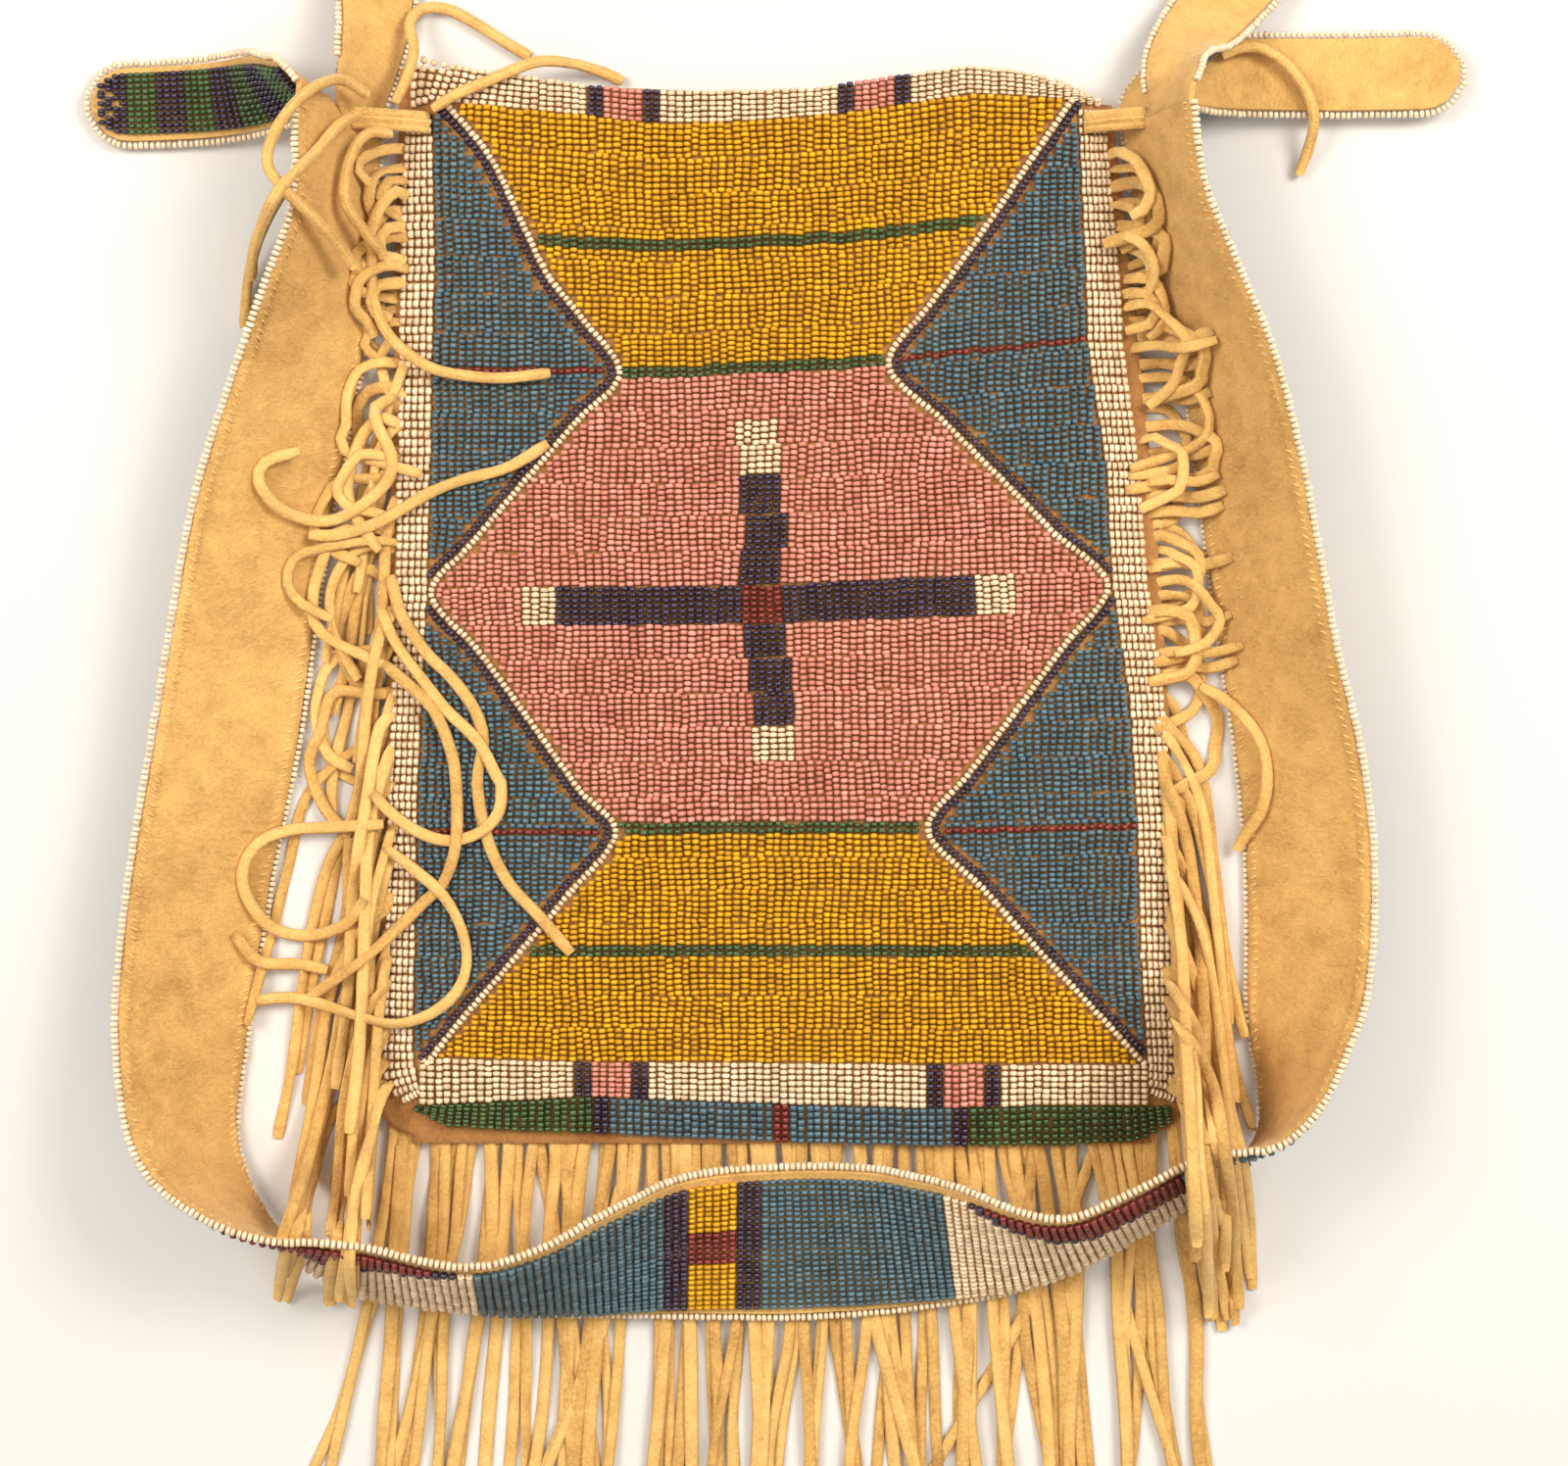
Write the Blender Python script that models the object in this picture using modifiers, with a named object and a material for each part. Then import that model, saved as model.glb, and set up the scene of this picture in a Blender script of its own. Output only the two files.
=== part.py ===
"""Beaded medicine bag of soft hide, lying on its back with the beaded front up.

Units are metres and +Z is up. The mouth of the bag is towards +Y, and the origin is the centre of
the back panel's outer face.
"""

import math

import bmesh
import bpy
from mathutils import Vector

BAG = "beaded medicine bag"
MM = 0.001
UP = Vector((0.0, 0.0, 1.0))

# Clearance between pieces that touch
GAP = 0.3 * MM

# Body: a trapezoid that leans a little, wider at the bottom than at the mouth
BODY_HEIGHT = 248.5 * MM
MOUTH_WIDTH = 171.0 * MM
BOTTOM_WIDTH = 194.5 * MM
MOUTH_CENTRE = -3.6 * MM
BOTTOM_CENTRE = 2.3 * MM
RIGHT_BULGE = 3.5 * MM
BOTTOM_CORNER = 9.0 * MM

# Hide and beads
HIDE = 1.5 * MM
FRINGE_HIDE = 1.2 * MM
BEADS = 1.6 * MM
BEAD_STRING = 1.8 * MM

# Dome of the front panel over the pocket
DOME = 5.7 * MM
SIDE_ROLL = 22.0 * MM
BOTTOM_ROLL = 16.0 * MM

# Lanes of the front
BORDER_LANE = 8.1 * MM
TOP_LANE = 8.0 * MM
BOTTOM_LANE = 10.8 * MM
BASE_LANE = 7.8 * MM

# Wave of the mouth's edge: fraction across from the left side, rise over the straight edge
MOUTH_WAVE = (
    (0.00, 7.0 * MM),
    (0.10, 5.0 * MM),
    (0.26, 1.2 * MM),
    (0.45, 0.0),
    (0.62, 1.0 * MM),
    (0.80, 6.0 * MM),
    (0.90, 4.0 * MM),
    (1.00, -2.0 * MM),
)
WAVE_DEPTH = 70.0 * MM

# Fringe
SEAM = 8.0 * MM
FRINGE_HEIGHT = 3.0 * MM
FRINGE_TOP = 0.95
FRINGE_CLEARANCE = 4.6 * MM
BOTTOM_FRINGE_LENGTH = 112.0 * MM
BOTTOM_FRINGE_FLARE = 14.0 * MM

# Strap, standing on its edge round the bag
STRAP_WIDTH = 36.0 * MM
STRAP_STEP = 7.0 * MM
BEADWORK_INSET = 1.6 * MM
TWIST_SPREAD = 57.0 * MM
ON_FLOOR = 0.4 * MM
ON_FRINGE = FRINGE_HEIGHT + GAP

# Lower edge of the strap from the left corner round to the right one. Each row holds the fraction
# across the body (-1 left side, 1 right side) and along it (0 bottom, 1 mouth), the distances
# outwards from there along X and Y, the lean outwards in degrees and the height it lies on
STRAP_ROUTE = (
    (-1, 0.970, -7.6, 0.0, 25, ON_FLOOR),
    (-1, 0.870, -8.2, 0.0, 24, ON_FLOOR),
    (-1, 0.780, -9.8, 0.0, 34, ON_FLOOR),
    (-1, 0.690, -13.0, 0.0, 43, ON_FLOOR),
    (-1, 0.570, -18.5, 0.0, 52, ON_FLOOR),
    (-1, 0.460, -21.8, 0.0, 56, ON_FLOOR),
    (-1, 0.350, -25.2, 0.0, 58, ON_FLOOR),
    (-1, 0.240, -30.0, 0.0, 55, ON_FLOOR),
    (-1, 0.140, -33.5, 0.0, 52, ON_FLOOR),
    (-1, 0.060, -36.0, 0.0, 46, ON_FLOOR),
    (-1, 0.000, -38.0, -5.0, 32, ON_FLOOR),
    (-1, 0.000, -35.5, -17.0, 14, 2.0 * MM),
    (-1, 0.000, -29.5, -28.5, -4, ON_FRINGE),
    (-1, 0.000, -21.0, -38.5, -20, ON_FRINGE),
    (-1, 0.000, -5.5, -47.0, -28, ON_FRINGE),
    (-0.78, 0.0, 0.0, -51.0, -26, ON_FRINGE),
    (-0.58, 0.0, 0.0, -52.0, -35, ON_FRINGE),
    (-0.40, 0.0, 0.0, -52.0, -53, ON_FRINGE),
    (-0.22, 0.0, 0.0, -52.2, -74, ON_FRINGE),
    (0.02, 0.0, 0.0, -52.4, -84, ON_FRINGE),
    (0.24, 0.0, 0.0, -51.2, -78, ON_FRINGE),
    (0.42, 0.0, 0.0, -49.0, -62, ON_FRINGE),
    (0.60, 0.0, 0.0, -46.0, -44, ON_FRINGE),
    (0.76, 0.0, 0.0, -40.5, -30, ON_FRINGE),
    (0.92, 0.0, 0.0, -31.5, -25, ON_FRINGE),
    (1, 0.000, 10.0, -20.5, -22, ON_FRINGE),
    (1, 0.000, 21.0, -9.5, -8, 2.4 * MM),
    (1, 0.010, 22.0, 0.0, 14, 1.0 * MM),
    (1, 0.080, 20.0, 0.0, 35, ON_FLOOR),
    (1, 0.160, 20.5, 0.0, 43, ON_FLOOR),
    (1, 0.250, 20.8, 0.0, 45, ON_FLOOR),
    (1, 0.340, 19.6, 0.0, 43, ON_FLOOR),
    (1, 0.430, 17.6, 0.0, 38, ON_FLOOR),
    (1, 0.530, 15.6, 0.0, 36, ON_FLOOR),
    (1, 0.620, 14.6, 0.0, 33, ON_FLOOR),
    (1, 0.710, 13.4, 0.0, 28, ON_FLOOR),
    (1, 0.790, 10.6, 0.0, 22, ON_FLOOR),
    (1, 0.880, 6.4, 0.0, 18, ON_FLOOR),
    (1, 0.970, 4.6, 0.0, 20, ON_FLOOR),
)

# Tails cut from the strap's ends. Each row holds the distance past the fork towards the mouth, the
# distance outwards, the height of the middle and the lean outwards in degrees
LEFT_SIDE_TAIL = (
    (4.0, 1.0, 27.0, 12),
    (6.8, 5.0, 24.0, -14),
    (7.4, 11.0, 18.0, -42),
    (7.2, 19.0, 10.0, -66),
    (6.6, 30.0, 4.6, -82),
    (6.0, 44.0, 3.0, -87),
    (5.6, 60.0, 3.0, -88),
)
LEFT_UP_TAIL = (
    (6.0, 0.0, 10.6, 30),
    (16.0, -2.0, 9.4, 42),
    (28.0, -3.5, 7.4, 58),
    (44.0, -3.5, 5.2, 76),
    (62.0, -2.0, 4.6, 84),
)
RIGHT_SIDE_TAIL = (
    (4.6, 1.2, 10.0, 28),
    (8.6, 5.4, 9.0, 42),
    (10.8, 12.0, 7.6, 58),
    (12.0, 20.0, 6.0, 72),
    (12.8, 30.0, 4.9, 83),
    (12.8, 50.0, 4.6, 86),
    (13.4, 80.0, 4.6, 87),
)
RIGHT_UP_TAIL = (
    (5.0, 0.8, 26.0, 26),
    (14.0, 3.0, 19.6, 46),
    (25.0, 10.4, 10.6, 70),
    (36.0, 19.6, 5.6, 82),
    (50.0, 31.0, 4.6, 85),
)
TAIL_STEP = 3.0 * MM
TAIL_TIP = 9.0 * MM
TAIL_TIP_END = 0.22

# Sections of a tail left free of beads or string, at its root, its notch and its tip
TAIL_BEADS_FROM = 5
TAIL_BEADS_END = 2
TAIL_STRING_FROM = 1
TAIL_NOTCH_FROM = 4

# Fineness of the plain shapes
STRING_RESOLUTION = 1
SIDE_FRINGE_ROWS = 14
BOTTOM_FRINGE_COLUMNS = 12

# Thong ties through the top corners
TIE_THICKNESS = 4.4 * MM
TIE_ON_STRAP = 0.34
TIE_ON_BORDER = 4.0 * MM
TIE_ALONG = 0.965
TIE_CLEARANCE = 0.7 * MM
TIE_ARCH = 1.0 * MM

# Routes of the thongs' free ends over the bag and the strap, in millimetres
THONG = 2.8 * MM
THONG_STEP = 6.0 * MM
THONG_RESOLUTION = 2
THONG_ROUTES = {
    "thong_left_top": (
        (-82.6, 119.8, 11.8),
        (-77.0, 122.8, 13.6),
        (-70.0, 125.6, 14.4),
        (-62.0, 129.0, 14.6),
        (-56.0, 131.4, 12.0),
        (-49.0, 132.0, 6.8),
        (-42.5, 131.0, 2.8),
        (-36.6, 128.6, 2.0),
    ),
    "thong_left_loop": (
        (-91.6, 120.6, 14.6),
        (-88.6, 127.5, 14.0),
        (-87.4, 134.5, 11.0),
        (-88.8, 141.4, 8.0),
        (-86.4, 145.8, 4.6),
        (-80.5, 146.6, 2.2),
        (-74.0, 143.4, 2.0),
        (-66.6, 138.8, 2.0),
        (-59.6, 134.6, 2.0),
    ),
    "thong_left_outer": (
        (-97.6, 121.6, 19.6),
        (-102.6, 123.4, 27.6),
        (-107.4, 120.4, 35.4),
        (-112.6, 114.6, 39.6),
        (-117.0, 108.6, 38.2),
        (-118.8, 101.6, 37.4),
        (-114.2, 94.8, 40.4),
        (-108.4, 89.4, 34.8),
        (-103.4, 84.0, 26.6),
        (-100.6, 79.4, 21.4),
    ),
    "thong_left_long": (
        (-99.6, 116.6, 21.0),
        (-103.6, 112.6, 27.0),
        (-107.4, 105.8, 33.0),
        (-111.0, 99.6, 40.6),
        (-115.6, 92.8, 45.0),
        (-120.2, 87.0, 37.0),
        (-123.8, 82.0, 28.0),
        (-125.6, 77.0, 20.0),
    ),
    "thong_left_inner": (
        (-92.6, 113.2, 14.0),
        (-97.0, 112.6, 18.6),
        (-100.2, 108.6, 21.8),
        (-102.2, 101.6, 24.2),
        (-102.2, 94.6, 24.0),
        (-98.4, 88.6, 17.6),
        (-95.0, 84.4, 12.0),
    ),
    "thong_left_low": (
        (-93.6, 101.0, 7.4),
        (-96.8, 92.0, 9.8),
        (-97.8, 82.0, 10.8),
        (-97.4, 73.0, 9.0),
        (-94.0, 65.0, 8.2),
        (-87.3, 58.8, 11.2),
        (-79.6, 55.1, 13.6),
        (-66.5, 53.5, 14.7),
        (-53.6, 54.7, 14.7),
    ),
    "thong_left_behind": (
        (-110.1, 106.6, 20.4),
        (-114.6, 103.4, 19.2),
        (-118.6, 98.8, 15.8),
        (-122.6, 94.0, 11.4),
        (-126.6, 87.6, 7.0),
        (-129.4, 78.6, 3.6),
        (-130.6, 67.3, 2.0),
    ),
    "thong_right": (
        (111.2, 133.8, 7.8),
        (116.0, 135.6, 8.0),
        (121.4, 135.2, 8.2),
        (127.2, 131.2, 8.4),
        (131.6, 125.4, 8.6),
        (133.8, 118.4, 8.2),
        (133.2, 112.0, 5.0),
        (131.0, 105.4, 2.0),
    ),
}

# Clearance behind what lies on hide that twists, and levels that follow from the thicknesses
TWIST_GAP = HIDE * (STRAP_WIDTH / TWIST_SPREAD) ** 2
SEAM_BOTTOM = HIDE + GAP
SEAM_TOP = SEAM_BOTTOM + FRINGE_HIDE
EDGE_TOP = SEAM_TOP + GAP + HIDE
BODY_FOOT = -BODY_HEIGHT / 2 - BASE_LANE
STRING_OFFSET = GAP + BEAD_STRING / 2
TAIL_HALF_WIDTH = STRAP_WIDTH / 4


def plain_material(name, colour, roughness):
    """A Principled BSDF material of one colour."""
    material = bpy.data.materials.new(name)
    material.use_nodes = True
    shader = material.node_tree.nodes["Principled BSDF"]
    shader.inputs["Base Color"].default_value = (*colour, 1.0)
    shader.inputs["Roughness"].default_value = roughness
    shader.inputs["Metallic"].default_value = 0.0
    material.diffuse_color = (*colour, 1.0)
    return material


def mix(start, end, fraction):
    """The value a fraction of the way from start to end."""
    return start + (end - start) * fraction


def rise(fraction):
    """A quarter sine from 0 to 1, held at its ends."""
    return math.sin(math.radians(90) * min(max(fraction, 0.0), 1.0))


def table_value(table, at):
    """The value at a place in a table of (place, value) rows, on straight lines between rows."""
    for (start, low), (end, high) in zip(table, table[1:]):
        if at <= end:
            return mix(low, high, max(at - start, 0.0) / (end - start))
    return table[-1][1]


def smooth_curve(points, step):
    """Points of a Catmull-Rom curve, about a step apart along their first two or three numbers."""
    points = [Vector(point) for point in points]
    ends = [points[0] * 2 - points[1], *points, points[-1] * 2 - points[-2]]
    curve = []
    for before, start, end, after in zip(ends, ends[1:], ends[2:], ends[3:]):
        length = (end.to_3d() - start.to_3d()).length
        count = max(1, round(length / step))
        for i in range(count):
            t = i / count
            curve.append(
                0.5
                * (
                    2 * start
                    + (end - before) * t
                    + (2 * before - 5 * start + 4 * end - after) * t**2
                    + (3 * start - before - 3 * end + after) * t**3
                )
            )
    return [*curve, points[-1]]


# Outline and dome of the body
def along(y):
    """How far up the body a place is, from 0 at the bottom to 1 at the mouth."""
    return (y + BODY_HEIGHT / 2) / BODY_HEIGHT


def side_x(side, y):
    """The body's side at a height: -1 is the left side and 1 the right one."""
    up = along(y)
    centre = mix(BOTTOM_CENTRE, MOUTH_CENTRE, up)
    half = mix(BOTTOM_WIDTH, MOUTH_WIDTH, up) / 2
    if side > 0:
        half += RIGHT_BULGE * math.sin(math.pi * min(max(up, 0.0), 1.0))
    above_foot = y - BODY_FOOT
    if above_foot < BOTTOM_CORNER:
        drop = BOTTOM_CORNER - max(above_foot, 0.0)
        half -= BOTTOM_CORNER - math.sqrt(BOTTOM_CORNER**2 - drop**2)
    return centre + side * half


def mouth_wave(x, y):
    """How far the hand-sewn lanes near the mouth rise above a straight line."""
    left, right = side_x(-1, y), side_x(1, y)
    fade = rise(1 - (BODY_HEIGHT / 2 - y) / WAVE_DEPTH)
    return table_value(MOUTH_WAVE, (x - left) / (right - left)) * fade


def dome(x, y):
    """Height of the front panel's hide."""
    sides = rise((x - side_x(-1, y)) / SIDE_ROLL) * rise((side_x(1, y) - x) / SIDE_ROLL)
    return EDGE_TOP + DOME * sides * rise((y - BODY_FOOT) / BOTTOM_ROLL)


# Lines that every layer of the body shares, so that the layers stay parallel
BORDER_LINES = [BORDER_LANE * i / 3 for i in range(4)]
ROLL_LINES = [mix(BORDER_LANE, SIDE_ROLL, i / 4) for i in range(1, 5)]
EDGE_LINES = BORDER_LINES + ROLL_LINES
MIDDLE_LINES = [i / 8 for i in range(1, 8)]
LAST_COLUMN = 2 * len(EDGE_LINES) + len(MIDDLE_LINES) - 1
BORDER_COLUMN = len(BORDER_LINES) - 1

FIELD_FOOT = -BODY_HEIGHT / 2 + BOTTOM_LANE
FIELD_HEAD = BODY_HEIGHT / 2 - TOP_LANE
BASE_ROWS = [mix(BODY_FOOT, -BODY_HEIGHT / 2, i / 3) for i in range(3)]
BOTTOM_ROWS = [mix(-BODY_HEIGHT / 2, FIELD_FOOT, i / 3) for i in range(3)]
FIELD_ROWS = [mix(FIELD_FOOT, FIELD_HEAD, i / 10) for i in range(10)]
TOP_ROWS = [mix(FIELD_HEAD, BODY_HEIGHT / 2, i / 2) for i in range(3)]
ROWS = BASE_ROWS + BOTTOM_ROWS + FIELD_ROWS + TOP_ROWS
BOTTOM_ROW = len(BASE_ROWS)
FIELD_ROW = BOTTOM_ROW + len(BOTTOM_ROWS)
TOP_ROW = FIELD_ROW + len(FIELD_ROWS)
LAST_ROW = len(ROWS) - 1


def lattice_point(column, row):
    """Place of a crossing of the shared lines, on the hide of the front panel."""
    y = ROWS[row]
    left, right = side_x(-1, y), side_x(1, y)
    from_right = LAST_COLUMN - column
    if column < len(EDGE_LINES):
        x = left + EDGE_LINES[column]
    elif from_right < len(EDGE_LINES):
        x = right - EDGE_LINES[from_right]
    else:
        inner = MIDDLE_LINES[column - len(EDGE_LINES)]
        x = mix(left + SIDE_ROLL, right - SIDE_ROLL, inner)
    return Vector((x, y + mouth_wave(x, y), dome(x, y)))


def add_object(name, data, material):
    """Puts mesh or curve data into the bag's collection with its material."""
    data.materials.append(material)
    piece = bpy.data.objects.new(name, data)
    bpy.data.collections[BAG].objects.link(piece)
    return piece


def finish_mesh(name, bm, material):
    """Turns a bmesh into an object of the scene."""
    mesh = bpy.data.meshes.new(name)
    bm.to_mesh(mesh)
    bm.free()
    return add_object(name, mesh, material)


def thicken(piece, thickness, offset):
    """Gives a sheet its thickness: offset 1 outwards, 0 to both sides, -1 inwards."""
    solidify = piece.modifiers.new("thickness", "SOLIDIFY")
    solidify.thickness = thickness
    solidify.offset = offset
    return piece


def body_layer(name, columns, rows, base, thickness, offset, material):
    """A sheet of the body between two columns and two rows of the shared lines."""
    (first_column, last_column), (first_row, last_row) = columns, rows
    across, up = last_column - first_column, last_row - first_row
    bm = bmesh.new()
    bmesh.ops.create_grid(bm, x_segments=across, y_segments=up, size=1.0)
    for vert in bm.verts:
        column = round((vert.co.x + 1) / 2 * across)
        row = round((vert.co.y + 1) / 2 * up)
        place = lattice_point(first_column + column, first_row + row)
        place.x += GAP / 2 * ((column == 0) - (column == across))
        place.y += GAP / 2 * ((row == 0) - (row == up))
        place.z += base
        vert.co = place
    return thicken(finish_mesh(name, bm, material), thickness, offset)


def add_front(hide, glass):
    """The hide front and the beadwork lanes sewn on it."""
    whole_rows = (0, LAST_ROW)
    body_layer("front_panel", (0, LAST_COLUMN), whole_rows, 0.0, HIDE, -1, hide)
    inner = (BORDER_COLUMN, LAST_COLUMN - BORDER_COLUMN)
    lanes = {
        "beadwork_left_border": ((0, BORDER_COLUMN), (BOTTOM_ROW, TOP_ROW), "ivory"),
        "beadwork_right_border": (
            (LAST_COLUMN - BORDER_COLUMN, LAST_COLUMN),
            (BOTTOM_ROW, TOP_ROW),
            "ivory",
        ),
        "beadwork_base_lane": ((0, LAST_COLUMN), (0, BOTTOM_ROW), "green"),
        "beadwork_bottom_band": (inner, (BOTTOM_ROW, FIELD_ROW), "ivory"),
        "beadwork_field": (inner, (FIELD_ROW, TOP_ROW), "pink"),
        "beadwork_top_band": ((0, LAST_COLUMN), (TOP_ROW, LAST_ROW), "ivory"),
    }
    for name, (columns, rows, colour) in lanes.items():
        body_layer(name, columns, rows, GAP, BEADS, 1, glass[colour])


def add_back(hide):
    """The plain hide back, flat on the surface."""
    bm = bmesh.new()
    bmesh.ops.create_grid(bm, x_segments=1, y_segments=LAST_ROW, size=1.0)
    for vert in bm.verts:
        y = ROWS[round((vert.co.y + 1) / 2 * LAST_ROW)]
        side = 1 if vert.co.x > 0 else -1
        vert.co = Vector((side_x(side, y), y, 0.0))
    thicken(finish_mesh("back_panel", bm, hide), HIDE, 1)


def loft(name, sections, material):
    """A closed body through outlines with the same number of points each."""
    bm = bmesh.new()
    rings = [[bm.verts.new(point) for point in section] for section in sections]
    for ring, following in zip(rings, rings[1:]):
        for i, vert in enumerate(ring):
            j = (i + 1) % len(ring)
            bm.faces.new((vert, ring[j], following[j], following[i]))
    bm.faces.new(reversed(rings[0]))
    bm.faces.new(rings[-1])
    bmesh.ops.recalc_face_normals(bm, faces=bm.faces)
    return finish_mesh(name, bm, material)


# Fringes, each a hide strip with its slit part as one plain sheet
def strap_distance(side, y):
    """Distance from the body's side to the strap's lower edge at a height."""
    rows = [(row[1], row[2] * side * MM) for row in STRAP_ROUTE if row[0] == side and row[3] == 0]
    return table_value(sorted(rows), along(y))


def fringe_outline(across, seam, edge, reach):
    """Section of a fringe that runs through the seam and then droops to the surface."""
    levels = (
        (seam, SEAM_BOTTOM),
        (seam, SEAM_TOP),
        (reach, SEAM_TOP),
        (reach, GAP),
        (edge, GAP),
        (edge, SEAM_BOTTOM),
    )
    return [across(place, level) for place, level in levels]


def add_side_fringe(name, side, hide):
    """A fringe along one side, up to the strap that lies beside it."""
    top = mix(-BODY_HEIGHT / 2, BODY_HEIGHT / 2, FRINGE_TOP)
    sections = []
    for row in range(SIDE_FRINGE_ROWS + 1):
        y = mix(-BODY_HEIGHT / 2, top, row / SIDE_FRINGE_ROWS)
        edge = side_x(side, y)
        reach = max(strap_distance(side, y) - FRINGE_CLEARANCE, 2 * GAP)
        sections.append(
            fringe_outline(
                lambda x, z: Vector((x, y, z)),
                edge - side * SEAM,
                edge + side * GAP,
                edge + side * reach,
            )
        )
    loft(name, sections, hide)


def add_bottom_fringe(hide):
    """The long fringe from the bottom seam, which the strap lies across."""
    corner = BOTTOM_CORNER + GAP
    left, right = side_x(-1, -BODY_HEIGHT / 2) + corner, side_x(1, -BODY_HEIGHT / 2) - corner
    tip = BODY_FOOT - BOTTOM_FRINGE_LENGTH
    sections = []
    for column in range(BOTTOM_FRINGE_COLUMNS + 1):
        share = column / BOTTOM_FRINGE_COLUMNS
        seam_x = mix(left, right, share)
        tip_x = mix(left - BOTTOM_FRINGE_FLARE, right + BOTTOM_FRINGE_FLARE, share)
        sections.append(
            fringe_outline(
                lambda y, z: Vector((tip_x if y == tip else seam_x, y, z)),
                BODY_FOOT + SEAM,
                BODY_FOOT - GAP,
                tip,
            )
        )
    loft("fringe_bottom", sections, hide)


# Strap and tails as ribbons: each section has its low and high edge and its beaded face's normal
class Section:
    """One section across a ribbon of hide."""

    def __init__(self, centre, width, half, face):
        self.width = width
        self.low = centre - width * half
        self.high = centre + width * half
        self.face = face

    def edge(self, sign, beyond, lift=0.0):
        """A point past the low (-1) or high (1) edge, lifted off the middle of the hide."""
        start = self.low if sign < 0 else self.high
        return start + self.width * (sign * beyond) + self.face * lift

    def middle(self):
        """The middle of the section."""
        return (self.low + self.high) / 2


def strap_lift(lean):
    """Height of the strap's low edge that keeps its string, beads and hide off the surface."""
    string = STRING_OFFSET * math.cos(lean) + BEAD_STRING / 2
    beads = (HIDE / 2 + TWIST_GAP + BEADS) * math.sin(lean) - BEADWORK_INSET * math.cos(lean)
    hide = HIDE / 2 * abs(math.sin(lean))
    return max(string, beads, hide)


def strap_place(row):
    """A row of the route as a place, the height it lies on and its lean."""
    across, up, out_x, out_y, lean, surface = row
    y = mix(-BODY_HEIGHT / 2, BODY_HEIGHT / 2, up)
    left, right = side_x(-1, y), side_x(1, y)
    return (mix(left, right, (across + 1) / 2) + out_x * MM, y + out_y * MM, surface, lean)


def strap_sections():
    """Sections of the strap from the left fork round to the right one."""
    samples = smooth_curve([strap_place(row) for row in STRAP_ROUTE], STRAP_STEP)
    sections = []
    for i, (x, y, surface, degrees) in enumerate(samples):
        ahead = samples[min(i + 1, len(samples) - 1)]
        behind = samples[max(i - 1, 0)]
        travel = Vector((ahead[0] - behind[0], ahead[1] - behind[1], 0.0)).normalized()
        if i in (0, len(samples) - 1):
            travel = Vector((0.0, -1.0 if i == 0 else 1.0, 0.0))
        lean = math.radians(degrees)
        out = travel.cross(UP)
        width = UP * math.cos(lean) + out * math.sin(lean)
        low = Vector((x, y, surface + strap_lift(lean)))
        face = travel.cross(width)
        sections.append(Section(low + width * STRAP_WIDTH / 2, width, STRAP_WIDTH / 2, face))
    return sections


def tail_sections(fork, upper, side, route):
    """Sections of a tail cut from the upper or lower half of the strap's end."""
    middle = fork.middle()
    root = (middle + (fork.high if upper else fork.low)) / 2
    lean = math.degrees(math.atan2(fork.width.x * side, fork.width.z))
    places = [(*root, lean)]
    for forward, outward, height, degrees in route:
        x, y = root.x + side * outward * MM, root.y + forward * MM
        places.append((x, y, height * MM, degrees))
    samples = smooth_curve(places, TAIL_STEP)
    centres = [sample.to_3d() for sample in samples]
    steps = [(b - a).length for a, b in zip(centres, centres[1:])]
    sections = []
    for i, centre in enumerate(centres):
        left = sum(steps[i:])
        beyond = max(1 - left / TAIL_TIP, 0.0)
        half = TAIL_HALF_WIDTH * max(math.sqrt(1 - beyond**2), TAIL_TIP_END)
        heading = centres[min(i + 1, len(centres) - 1)] - centres[max(i - 1, 0)]
        if i == 0:
            heading = Vector((0.0, 1.0, 0.0))
        heading.normalize()
        out = (heading.cross(UP) * side).normalized()
        raised = (out.cross(heading) * side).normalized()
        lean = math.radians(samples[i][3])
        width = raised * math.cos(lean) + out * math.sin(lean)
        face = heading.cross(width) * side
        sections.append(Section(centre, width, half, face))
    return sections


def ribbon(name, sections, inset, lift, turned, material):
    """A sheet along sections, set in from both edges and lifted off the middle of the hide."""
    bm = bmesh.new()
    rails = []
    for part in sections:
        middle = part.middle() + part.face * lift
        points = (part.edge(-1, -inset, lift), middle, part.edge(1, -inset, lift))
        rails.append([bm.verts.new(point) for point in points])
    add_strip(bm, [(low, middle) for low, middle, _ in rails], turned)
    add_strip(bm, [(middle, high) for _, middle, high in rails], turned)
    return finish_mesh(name, bm, material)


def add_strip(bm, pairs, turned):
    """Triangles between following pairs of vertices, with normals towards the beaded face."""
    for (low, high), (next_low, next_high) in zip(pairs, pairs[1:]):
        for corners in ((low, next_low, high), (high, next_low, next_high)):
            bm.faces.new(tuple(reversed(corners)) if turned else corners)


def add_strap_hide(strap, tails, hide):
    """The strap's hide in one piece, slit at both ends into two tails."""
    bm = bmesh.new()
    rails = [
        [bm.verts.new(point) for point in (part.low, part.middle(), part.high)] for part in strap
    ]
    add_strip(bm, [(low, middle) for low, middle, _ in rails], False)
    add_strip(bm, [(middle, high) for _, middle, high in rails], False)
    for tail in tails:
        low, middle, high = rails[0] if tail.side < 0 else rails[-1]
        root = (middle, high) if tail.upper else (low, middle)
        pairs = [root]
        for part in tail.sections[1:]:
            pairs.append((bm.verts.new(part.low), bm.verts.new(part.high)))
        add_strip(bm, pairs, tail.side < 0)
    thicken(finish_mesh("strap", bm, hide), HIDE, 0)


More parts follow.
